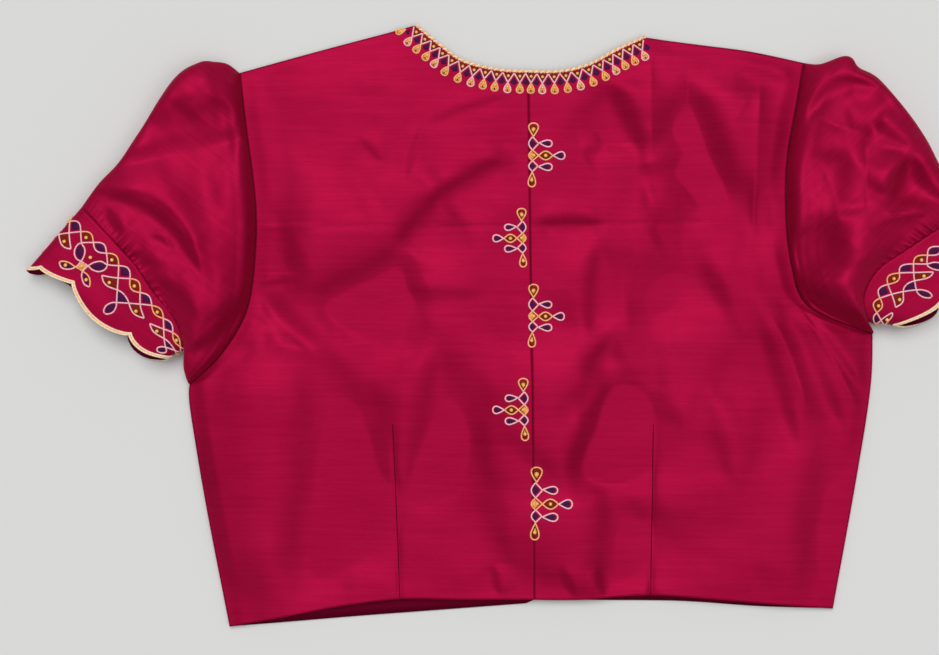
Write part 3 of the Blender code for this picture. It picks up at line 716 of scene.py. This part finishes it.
def section(angles, edge, top, underside):
    """Heights round a flattened tube, with no folds. Angles are columns, stations are rows."""
    sine = np.sin(angles)
    above = edge + (top - edge) * np.maximum(sine, 0) ** TOP_FULLNESS
    beneath = (edge - underside) * np.maximum(-sine, 0) ** UNDERSIDE_FULLNESS
    return above - beneath


def table_at(rows, share):
    """The columns after the first, on smooth curves through a table's rows."""
    first, *columns = np.array(rows, float).T
    i = np.clip(np.searchsorted(first, share, "right") - 1, 0, len(first) - 2)
    width = first[i + 1] - first[i]
    t = (share - first[i]) / width
    found = []
    for column in columns:
        slope = np.gradient(column, first)
        slope[0] = (column[1] - column[0]) / (first[1] - first[0])
        found.append(
            column[i] * (1 + 2 * t) * (1 - t) ** 2 + column[i + 1] * t * t * (3 - 2 * t)
            + width * (slope[i] * t * (1 - t) ** 2 - slope[i + 1] * t * t * (1 - t))
        )
    return found


def scallop_reach(side, shares):
    """How far the hem stands out at each share of the way round."""
    scallops = SCALLOPS[side]
    found = np.zeros(len(shares))
    for i, (start, depth) in enumerate(scallops):
        width = (scallops[(i + 1) % len(scallops)][0] - start) % 1
        part = ((shares - start) % 1) / width
        found += np.where(part < 1, depth * np.sin(math.pi * np.minimum(part, 1)) ** SCALLOP_FULLNESS, 0)
    return found


def ring_angles(outline, shares):
    """Angles round the section at shares of the band seam's ring, and the lengths of it and its top."""
    seam = smooth_line(outline["band_seam"])
    fine = np.linspace(0, math.tau, RING_STEPS + 1)
    edge, top = SLEEVE_HEIGHTS[-1][1:]
    reach = reach_along(raised(seam((1 - np.cos(fine)) / 2), section(fine, edge, top, 0)))
    return np.interp(np.asarray(shares) * reach[-1], reach, fine), reach[-1], reach[RING_STEPS // 2]


def small_folds(row, round_it, stations):
    """Even folds round a sleeve, strongest at their middle station."""
    count, height, middle, reach, wander, often = row
    near = np.exp(-(((middle - stations) / reach) ** 2))
    return height * near * np.sin(math.tau * count * round_it + wander * np.sin(often * round_it))


def sleeve_points(side, angles, stations):
    """The sleeve's outer face. Angles are columns, stations from armhole to band are rows."""
    angles, stations = angles[None, :], stations[:, None]
    place = sleeve_plan(OUTLINES[side])((1 - np.cos(angles)) / 2, stations)
    edge, top = table_at(SLEEVE_HEIGHTS, stations)
    underside = SEAM_UNDERSIDE * ease((stations - SEAM_LIFT_START) / (1 - SEAM_LIFT_START))
    above, beneath = np.maximum(np.sin(angles), 0), np.maximum(-np.sin(angles), 0)
    folds = crease_height(SLEEVE_CREASES[side], place) + ridge_height(SLEEVE_RIDGES[side], place)
    folds = held(folds, MOST_FOLD["sleeve"]) + ripples(place, RIPPLES["sleeve"])
    fade = ease(stations / FOLDS_FADE) * ease((FOLDS_END - stations) / FOLDS_FADE)
    round_it = angles / math.tau
    small = small_folds(PUCKERS, round_it, stations) + small_folds(GATHERS, round_it, stations)
    uneven = np.ones_like(round_it)
    for size, times, start in GATHERS_UNEVEN:
        uneven = uneven + size * np.sin(math.tau * times * round_it + start)
    height = section(angles, edge, top, underside) + folds * np.sqrt(above) * fade
    height = height + small * uneven * np.maximum(above, GATHERS_BENEATH * beneath)
    return raised(place, np.maximum(height, LEAST_SLEEVE))


def band_points(side, shares, stations):
    """The band's outer face. Shares of the way round are columns, stations from seam to hem are rows."""
    outline = OUTLINES[side]
    angles = ring_angles(outline, shares)[0]
    seam, hem = smooth_line(outline["band_seam"]), smooth_line(outline["band_hem"])
    across = (1 - np.cos(angles)) / 2
    run = hem(across) - seam(across)
    under = UNDER_REACH * np.minimum(1, np.maximum(0, -np.sin(angles)) * 2)
    s = stations[:, None, None]
    out = BAND_GAP * (1 - s) + (scallop_reach(side, shares) + under)[None, :, None] * s
    place = seam(across)[None] + run[None] * s + unit(run)[None] * out
    stations = stations[:, None]
    edge, top = table_at(BAND_HEIGHTS, stations)
    underside = SEAM_UNDERSIDE + (BAND_UNDERSIDE - SEAM_UNDERSIDE) * ease(stations / BAND_LIFT_END)
    above = np.maximum(np.sin(angles), 0) * ease(stations / BAND_RIPPLE_START)
    uneven = ripples(place, RIPPLES["band"]) * above
    return raised(place, section(angles, edge, top, underside) + uneven)


# Surfaces that the embroidery lies on


def level_surface(targets):
    """A function from plan points to the highest cloth beneath them, with its normals."""
    graph = bpy.context.evaluated_depsgraph_get()
    trees = [BVHTree.FromObject(thing, graph) for thing in targets]

    def at(plan_points):
        found = []
        for x, y in plan_points:
            start = Vector((x * MM, y * MM, RAY_START))
            hits = [tree.ray_cast(start, Vector((0, 0, -1))) for tree in trees]
            hits = [(hit[0].z, hit) for hit in hits if hit[0] is not None]
            if hits:
                _, (place, normal, _, _) = max(hits, key=lambda hit: hit[0])
                found.append((*(place / MM), *normal))
            else:
                found.append((x, y, found[-1][2] if found else SEAM_TOP, 0, 0, 1))
        found = np.array(found)
        return found[:, :3], found[:, 3:]

    return at


def band_surface(side, girth):
    """A function from (u, v) in millimetres, round the band and down from its seam, to its outer face."""
    columns, rows = BAND_GRID
    shares = np.arange(columns) / columns
    grid = band_points(side, shares, np.linspace(0, 1, rows + 1))
    down = np.gradient(grid, axis=0)
    round_it = np.roll(grid, -1, axis=1) - np.roll(grid, 1, axis=1)
    normals = outward(unit(np.cross(round_it, down)), grid)
    depth = np.linalg.norm(grid[-1] - grid[0], axis=-1)
    squeeze = np.minimum(1, depth / BAND_DEPTH)
    even = np.ones(BAND_SMOOTHING) / BAND_SMOOTHING
    squeeze = np.convolve(np.tile(squeeze, 3), even, "same")[columns:2 * columns]

    def at(points):
        column = (points[:, 0] / girth * columns) % columns
        low = np.floor(column).astype(int) % columns
        part = (column - np.floor(column))[:, None]
        after = (low + 1) % columns
        own_squeeze, own_depth = (
            values[low] * (1 - part[:, 0]) + values[after] * part[:, 0] for values in (squeeze, depth)
        )
        row = np.clip(points[:, 1] * own_squeeze / own_depth, 0, 0.999) * rows
        top = np.floor(row).astype(int)
        fall = (row - top)[:, None]

        def blend(values):
            upper = values[top, low] * (1 - part) + values[top, after] * part
            lower = values[top + 1, low] * (1 - part) + values[top + 1, after] * part
            return upper * (1 - fall) + lower * fall

        return blend(grid), unit(blend(normals))

    return at


# Threads, fills and beads


class Needlework:
    """Collects the threads, satin fills and beads of one region into one mesh."""

    kinds = [row[0] for row in THREADS]

    def __init__(self, surface):
        self.surface = surface
        self.points, self.faces, self.kind = [], [], []
        self.count = 0

    def take(self, points, faces, kind):
        self.points.append(points)
        self.faces += (np.asarray(faces) + self.count).tolist()
        self.kind += [self.kinds.index(kind)] * len(faces)
        self.count += len(points)

    def thread(self, line, kind, radius=THREAD_RADIUS, lift=THREAD_LIFT):
        """A stitched thread along a plan line, laid on the surface."""
        whole = straight_line(line)
        count = max(4, round(whole.length / THREAD_STEP))
        places, normals = self.surface(whole(np.linspace(0, 1, count + 1)))
        self.tube(places + normals * lift, normals, kind, radius)

    def tube(self, places, normals, kind, radius, closed=False, stitch=STITCH_LENGTH, sides=6):
        """A thread round a line of places, a little thinner between its stitches."""
        if closed:
            run = np.roll(places, -1, axis=0) - np.roll(places, 1, axis=0)
        else:
            run = np.gradient(places, axis=0)
        run = unit(run)
        across = unit(np.cross(run, normals))
        up = np.cross(across, run)
        wide = radius * (0.86 + 0.18 * np.abs(np.sin(math.pi * reach_along(places) / stitch)))
        if not closed:
            wide[[0, -1]] *= 0.3
        turn = np.arange(sides) * math.tau / sides
        ring = (
            places[:, None]
            + across[:, None] * (np.cos(turn)[None, :, None] * wide[:, None, None])
            + up[:, None] * (np.sin(turn)[None, :, None] * wide[:, None, None])
        )
        if closed:
            ring = np.concatenate([ring, ring[:1]])
        faces = grid_faces(len(ring), sides, True)
        self.take(ring.reshape(-1, 3), faces, kind)

    def fill(self, outline, kind, base=FILL_LIFT):
        """A slightly domed patch of satin stitch inside a plan outline."""
        edge = straight_line([*outline, outline[0]])(np.arange(FILL_POINTS) / FILL_POINTS)
        sizes, heights = np.array(FILL_RINGS, float).T
        places, normals = self.surface(np.concatenate([inside(edge, size) for size in sizes]))
        lift = np.repeat(base + FILL_DOME * heights, FILL_POINTS)
        self.take(places + normals * lift[:, None], grid_faces(len(sizes), FILL_POINTS, True), kind)

    def bead(self, place, radius=BEAD_RADIUS, kind="bead"):
        centre, normal = self.surface(np.array([place], float))
        centre, normal = centre[0], normal[0]
        side = unit(np.cross(normal, (0, 1, 0)))
        ahead = np.cross(side, normal)
        rows, columns = BEAD_GRID
        turn, tilt = np.meshgrid(np.arange(columns) * math.tau / columns, np.linspace(0, math.pi, rows))
        ring = (
            centre + normal * (0.55 * radius + 0.3)
            + (np.sin(tilt) * np.cos(turn))[..., None] * side * radius
            + (np.sin(tilt) * np.sin(turn))[..., None] * ahead * radius
            + np.cos(tilt)[..., None] * normal * radius * 0.8
        )
        self.take(ring.reshape(-1, 3), grid_faces(rows, columns, True), kind)

    def made(self, name, finishes):
        piece = mesh_object(name, np.vstack(self.points), self.faces, finishes, self.kind)
        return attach(piece, "root")


def teardrop(crossing, end, width, count=28):
    """A loop that starts and ends at the crossing and is widest near its round end."""
    crossing, end = np.asarray(crossing, float), np.asarray(end, float)
    along = end - crossing
    t = np.linspace(0, math.tau, count + 1)
    reach = (1 - np.cos(t)) / 2
    off = np.sin(t) * np.sin(t / 2) ** 1.6
    off *= width / 2 / off.max()
    return crossing + reach[:, None] * along + off[:, None] * left_of(along)


def lens(start, end, width, count=14):
    """The two arcs of an eye between two crossings."""
    start, end = np.asarray(start, float), np.asarray(end, float)
    along = end - start
    t = np.linspace(0, 1, count + 1)[:, None]
    return [start + along * t + left_of(along) * way * width / 2 * np.sin(math.pi * t) for way in (1, -1)]


def inside(outline, share):
    middle = np.mean(outline, axis=0)
    return middle + (np.asarray(outline) - middle) * share


def stack_motif(work, x, y, size, way):
    """A stack of cells along the centre line, with three branches that point away from it."""

    def placed(points):
        return np.asarray(points, float) * (size * way, size) + (x, y)

    for x1, y1, x2, y2, width, thread, fill in MOTIF_LOOPS:
        line = teardrop((x1, y1), (x2, y2), width)
        work.fill(placed(inside(line, LOOP_FILL)), fill)
        if fill == "brown":
            work.fill(placed(inside(line, LOOP_CENTRE)), "ochre", FILL_LIFT + FILL_DOME)
        work.thread(placed(line), thread)
    for upper, lower, reach, thread, fill in MOTIF_CELLS:
        t = np.linspace(0, 1, 13)
        bulge = -0.01 - MOTIF_CELL_BULGE * np.sin(math.pi * t)
        arc = np.stack([bulge, upper + (lower - upper) * t], axis=-1)
        point = (reach, (upper + lower) / 2)
        line = [*arc.tolist(), point]
        work.fill(placed(inside(line, CELL_FILL)), fill)
        for part in (arc, [arc[0], point], [point, arc[-1]]):
            work.thread(placed(part), thread)
    start, end, level, width = MOTIF_EYE
    arcs = lens((start, level), (end, level), width)
    work.fill(placed(inside([*arcs[0], *arcs[1][::-1]], EYE_FILL)), "brown")
    for arc in arcs:
        work.thread(placed(arc), "gold")
    for place in MOTIF_BEADS:
        work.bead(placed(place))


def neck_border(work):
    """Crossed threads below the neck's cord, with a drop under each crossing."""
    edge = smooth_line([*LEFT["neck"][::-1], *RIGHT["neck"][1:]])

    def placed(points, repeat):
        steps, depth = np.array(points, float).T
        share = (steps + repeat) / NECK_REPEATS
        inward = -left_of(edge(share + 0.02) - edge(share - 0.02))
        return edge(share) + inward * depth[:, None]

    for k in range(int(NECK_REPEATS)):
        for kind, points in NECK_FILLS.items():
            work.fill(placed(points, k), kind)
        for points in NECK_THREADS:
            work.thread(placed(points, k), "pink")
        crossing, end = placed(NECK_DROP, k)
        drop = teardrop(crossing, end, NECK_DROP_WIDTH)
        work.fill(inside(drop, DROP_FILL), "ochre")
        work.thread(drop, "gold" if k % 3 else "pink")
        work.bead(placed([NECK_BEAD], k)[0], NECK_BEAD_RADIUS)
        for share, radius, kind in DROP_BEADS:
            work.bead(crossing + (end - crossing) * share, radius, kind)


def shoulder_turn(work):
    """The border's first repeat of the front, which turns over the left shoulder seam."""
    tip = np.array(LEFT["neck"][-1], float)
    along = unit(np.array(LEFT["shoulder"][1]) - tip)

    def placed(points):
        return tip + np.array(points) @ np.stack([along, left_of(along)])

    drop = teardrop(*placed(TURNED_DROP), TURNED_DROP_WIDTH)
    work.fill(inside(drop, DROP_FILL), "ochre")
    work.thread(drop, "gold")
    work.bead(placed(TURNED_BEAD), TURNED_BEAD_RADIUS)
    work.fill(placed(TURNED_FILL), "purple")


def band_lattice(work, side, girth, top_length):
    """A chain of crossed threads round the band, with looped pendants that hang from it."""
    cells = [fill for word in BAND_ORDER for fill in CHAIN_FILLS[word]]
    pitch = girth / len(cells)
    before_third = sum(len(CHAIN_FILLS[word]) for word in BAND_ORDER[:2])
    third = THIRD_PENDANT[side] * top_length
    start = third - (before_third + 1.5) * pitch
    at_fold, beyond = CHAIN_FROM_SEAM[side]

    def placed(points):
        u, v = (np.asarray(points, float) * pitch).T
        middle = beyond + (at_fold - beyond) * ease(1 - (u + start) / third)
        return np.stack([u + start, v + middle], axis=-1)

    def smooth(points):
        return smooth_line(placed(points))(np.linspace(0, 1, 40))

    first = 0
    for word in BAND_ORDER:
        fills = CHAIN_FILLS[word]
        for i, fill in enumerate(fills, first):
            upper, lower = lens((i, 0), (i + 1, 0), 2 * CHAIN_BULGE)[::-1]
            whole = word == "plain" or i == first + 1
            bottom = lower[::-1] if whole else [(i + 1, 0), (i + 0.5, CHAIN_TIP[word]), (i, 0)]
            for arc in (upper, lower) if whole else (upper,):
                work.thread(placed(arc), "gold" if fill == "brown" else "pink")
            work.fill(placed(inside([*upper, *bottom], CHAIN_FILL)), fill)
            if fill == "brown":
                work.bead(placed((i + 0.5, 0.04)))
        if word != "plain":
            middle = first + 1.5
            for kind, points in PENDANT_LINES[word]:
                for way in (1, -1):
                    work.thread(smooth([(middle + way * u, v) for u, v in points]), kind)
            for kind, mirrored, points in PENDANT_FILLS[word]:
                for way in (1, -1) if mirrored else (1,):
                    work.fill(placed([(middle + way * u, v) for u, v in points]), kind)
            for u, v in PENDANT_BEADS[word]:
                work.bead(placed((middle + u, v)))
        first += len(fills)


# Cords


def scallop_cord(side, finishes):
    """The double cord round the scalloped hem of a band, with a gold thread between."""
    shares = np.arange(SCALLOP_POINTS) / SCALLOP_POINTS
    above, hem = band_points(side, shares, np.array([0.9, 1.0]))
    up = unit(above - hem)
    normals = outward(unit(np.cross(up, np.roll(hem, -1, axis=0) - np.roll(hem, 1, axis=0))), hem)
    work = Needlework(None)
    for off, lift, radius, kind in SCALLOP_STRANDS:
        strand = hem + up * (CORD_UP_FROM_EDGE + off) + normals * lift
        work.tube(strand, normals, kind, radius, closed=True, stitch=CORD_STITCH, sides=7)
    return work.made(f"band_cord_{side}_strands", finishes)


def neck_cord(name, line, radius, finishes):
    """Two strands twisted together along a line."""
    whole = straight_line(line)
    places = whole(np.linspace(0, 1, round(whole.length / THREAD_STEP) + 1))
    normals = np.tile((0.0, 0.0, 1.0), (len(places), 1))
    across = np.cross(unit(np.gradient(places, axis=0)), normals)
    work = Needlework(None)
    for phase, kind in ((0, "cream"), (math.pi, "gold")):
        angle = (math.tau * reach_along(places) / CORD_TURN + phase)[:, None]
        strand = places + (across * np.cos(angle) + normals * np.sin(angle)) * 0.4 * radius
        work.tube(strand, normals, kind, 0.66 * radius, stitch=CORD_TURN, sides=8)
    return work.made(name, finishes)


def neck_line(points, height):
    """Just outside a neck edge in plan, from one end of its points to the other."""
    edge = smooth_line(points)(np.linspace(0, 1, NECK_POINTS))
    out = left_of(np.gradient(edge, axis=0))
    out *= np.where(out[:, 1:] < 0, -1, 1)
    return raised(edge + out * NECK_CORD_OFF, height)


# Finishes


def node(tree, kind, **inputs):
    made = tree.nodes.new(kind)
    for name, value in inputs.items():
        made.inputs[name].default_value = value
    return made


def stretched_noise(tree, vector, scale, detail):
    size = node(tree, "ShaderNodeMapping", Scale=scale)
    tree.links.new(vector, size.inputs["Vector"])
    made = node(tree, "ShaderNodeTexNoise", Scale=1.0, Detail=detail, Roughness=0.55)
    tree.links.new(size.outputs["Vector"], made.inputs["Vector"])
    return made.outputs["Fac"]


def mixed(tree, first, second, share):
    made = tree.nodes.new("ShaderNodeMix")
    made.data_type = "FLOAT"
    made.inputs[0].default_value = share
    tree.links.new(first, made.inputs[2])
    tree.links.new(second, made.inputs[3])
    return made.outputs[0]


def ramp_between(tree, factor, low, high, start, end):
    made = tree.nodes.new("ShaderNodeValToRGB")
    made.color_ramp.elements[0].position = start
    made.color_ramp.elements[0].color = (*low, 1)
    made.color_ramp.elements[1].position = end
    made.color_ramp.elements[1].color = (*high, 1)
    tree.links.new(factor, made.inputs["Fac"])
    return made.outputs["Color"]


def bumped(tree, shader, height, strength, distance):
    made = node(tree, "ShaderNodeBump", Strength=strength, Distance=distance)
    tree.links.new(height, made.inputs["Height"])
    tree.links.new(made.outputs["Normal"], shader.inputs["Normal"])


def new_finish(name, settings):
    """A material with its shader's own sockets set, its node tree and the shader."""
    made = bpy.data.materials.new(name)
    made.use_nodes = True
    shader = made.node_tree.nodes["Principled BSDF"]
    for socket, value in settings.items():
        shader.inputs[socket].default_value = value
    return made, made.node_tree, shader


def silk(name, light, deep, grain_degrees, gloss):
    """Plain-woven silk: crosswise slubs, a fine weave, slight clouding and a soft red sheen."""
    made, tree, shader = new_finish(name, {
        "Roughness": 0.5, "Metallic": SILK_SHINE, "Specular IOR Level": gloss,
        "Specular Tint": (*SHEEN_TINT, 1), "Sheen Weight": 0.12, "Sheen Roughness": 0.4,
        "Sheen Tint": (*SHEEN_TINT, 1),
    })
    coords = tree.nodes.new("ShaderNodeTexCoord")
    turn = node(tree, "ShaderNodeMapping", Rotation=(0, 0, math.radians(grain_degrees)))
    tree.links.new(coords.outputs["Object"], turn.inputs["Vector"])
    vector = turn.outputs["Vector"]
    slubs = stretched_noise(tree, vector, (22, 620, 60), 3.0)
    threads = stretched_noise(tree, vector, (260, 1500, 200), 2.0)
    clouds = stretched_noise(tree, vector, (14, 18, 14), 2.0)
    tone = mixed(tree, mixed(tree, slubs, threads, 0.35), clouds, 0.4)
    tree.links.new(ramp_between(tree, tone, deep, light, 0.3, 0.7), shader.inputs["Base Color"])
    bumped(tree, shader, mixed(tree, slubs, threads, 0.5), 0.35, 0.00025)
    return made


def thread_finish(name, colour, roughness, gloss):
    """Stitched thread: a little light and dark along it."""
    made, tree, shader = new_finish(name, {"Roughness": roughness, "Specular IOR Level": gloss})
    coords = tree.nodes.new("ShaderNodeTexCoord")
    fibres = stretched_noise(tree, coords.outputs["Object"], (900, 900, 900), 2.0)
    low = tuple(0.72 * c for c in colour)
    tree.links.new(ramp_between(tree, fibres, low, colour, 0.35, 0.65), shader.inputs["Base Color"])
    bumped(tree, shader, fibres, 0.3, 0.0002)
    return made


# Stage


def floor():
    bpy.ops.mesh.primitive_plane_add(size=8)
    made = bpy.context.object
    made.name = "floor"
    look = {"Base Color": (*FLOOR_COLOUR, 1), "Roughness": 0.9, "Specular IOR Level": 0.1}
    made.data.materials.append(new_finish("pale_floor", look)[0])


def camera():
    data = bpy.data.cameras.new("camera")
    data.lens = SENSOR * CAMERA_HEIGHT / (PHOTO_WIDTH * MM_PER_PIXEL)
    data.sensor_width = SENSOR
    made = link(bpy.data.objects.new("camera", data))
    made.location = (PHOTO_MIDDLE[0] * MM, PHOTO_MIDDLE[1] * MM, CAMERA_HEIGHT * MM)
    bpy.context.scene.camera = made


def broad_light(name, x, y, elevation, strength, breadth):
    data = bpy.data.lights.new(name, "SUN")
    data.energy = strength
    data.angle = math.radians(breadth)
    made = link(bpy.data.objects.new(name, data))
    level = math.cos(math.radians(elevation))
    way = Vector((x * level, y * level, math.sin(math.radians(elevation))))
    made.location = way * 2
    made.rotation_euler = way.to_track_quat("Z", "Y").to_euler()


def lights():
    for row in LIGHTS:
        broad_light(*row)
    world = bpy.data.worlds.new("room")
    world.use_nodes = True
    background = world.node_tree.nodes["Background"]
    background.inputs["Color"].default_value = (1, 1, 1, 1)
    background.inputs["Strength"].default_value = ROOM_STRENGTH
    bpy.context.scene.world = world
    bpy.context.scene.view_settings.view_transform = "Standard"


def settle(piece, nodes):
    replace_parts(piece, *nodes)
    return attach(piece, "root")


def bodice(silk_finish, inner):
    """The two backs and the strip behind their opening."""
    backs = []
    for side in OUTLINES:
        back = back_half(side, [silk_finish, inner])
        settle(back, [f"back_{side}"])
        backs.append(back)
    strip = underlap(inner)
    settle(strip, ["back_underlap"])
    return backs


def embroidery(backs, finishes):
    """The motifs, the darts' seams and the neck's border."""
    body = Needlework(level_surface(backs))
    for row in MOTIFS:
        stack_motif(body, *row)
    for apex_x, apex_y, hem_x in DARTS.values():
        dart = np.array([(apex_x, apex_y), (hem_x, CENTRE_LINE["hem"][1] + 1)])
        # A stitched line along each dart, dark as painted shade of the dart's fold
        body.thread(dart, "seam", SEAM_RADIUS, 0.0)
    body.made("centre_motifs", finishes)
    border = Needlework(body.surface)
    neck_border(border)
    shoulder_turn(border)
    border.made("neck_border", finishes)


def arm(side, outline, inner, finishes):
    """A sleeve, its band, the band's embroidery and its cord."""
    looks = [silk(f"sleeve_silk_{side}", RASPBERRY, RASPBERRY_DEEP, SLEEVE_GRAIN[side], SILK_GLOSS), inner]
    shares = np.arange(RING_POINTS) / RING_POINTS
    angles, girth, top_length = ring_angles(outline, shares)
    points = sleeve_points(side, angles, np.linspace(0, 1, SLEEVE_CELLS + 1))
    sleeve = cloth(f"sleeve_{side}_silk", points, True, SHELL, looks)
    settle(sleeve, [f"sleeve_{side}"])
    points = band_points(side, shares, np.linspace(0, 1, BAND_CELLS + 1))
    band = cloth(f"sleeve_band_{side}_silk", points, True, SHELL, looks)
    settle(band, [f"sleeve_band_{side}"])
    work = Needlework(band_surface(side, girth))
    band_lattice(work, side, girth, top_length)
    lattice = work.made(f"band_lattice_{side}", finishes)
    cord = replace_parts(scallop_cord(side, finishes), f"band_cord_{side}")


def back_piping(side, outline, finishes):
    """The cord round one half of the back's neck."""
    height = back_top(side, back_plan(outline), np.linspace(0, NECK_SHARE, NECK_POINTS), 0.0) - CLOTH / 2
    line = neck_line(outline["neck"], height)
    cord = neck_cord(f"neck_cord_{side}", line, BACK_CORD_RADIUS, finishes)
    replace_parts(cord, f"neck_piping_{side}")


def front(silk_finish, inner, finishes):
    """The hidden front and the cord round its neck."""
    # The front's upper face takes the inner finish, whose dark colour is painted shade
    sheet = front_sheet([inner, silk_finish])
    settle(sheet, ["front"])
    line = neck_line([*FRONT_NECK["left"][::-1], *FRONT_NECK["right"][1:]], FRONT_CORD_LEVEL)
    cord = neck_cord("neck_cord_front", line, FRONT_CORD_RADIUS, finishes)
    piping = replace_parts(cord, "neck_piping_front")


def main():
    floor()
    camera()
    lights()
    # The inner faces' finish is painted shade: the dark maroon of the shade under the hem and in the opening
    inner = silk("inside_silk_painted_shade", INSIDE_PAINTED_SHADE, INSIDE_PAINTED_SHADE, 0, 0.1)
    body_silk = silk("raspberry_silk", RASPBERRY, RASPBERRY_DEEP, 0, SILK_GLOSS)
    finishes = [thread_finish(*row[1:]) for row in THREADS]
    embroidery(bodice(body_silk, inner), finishes)
    for side, outline in OUTLINES.items():
        arm(side, outline, inner, finishes)
        back_piping(side, outline, finishes)
    front(body_silk, inner, finishes)


main()
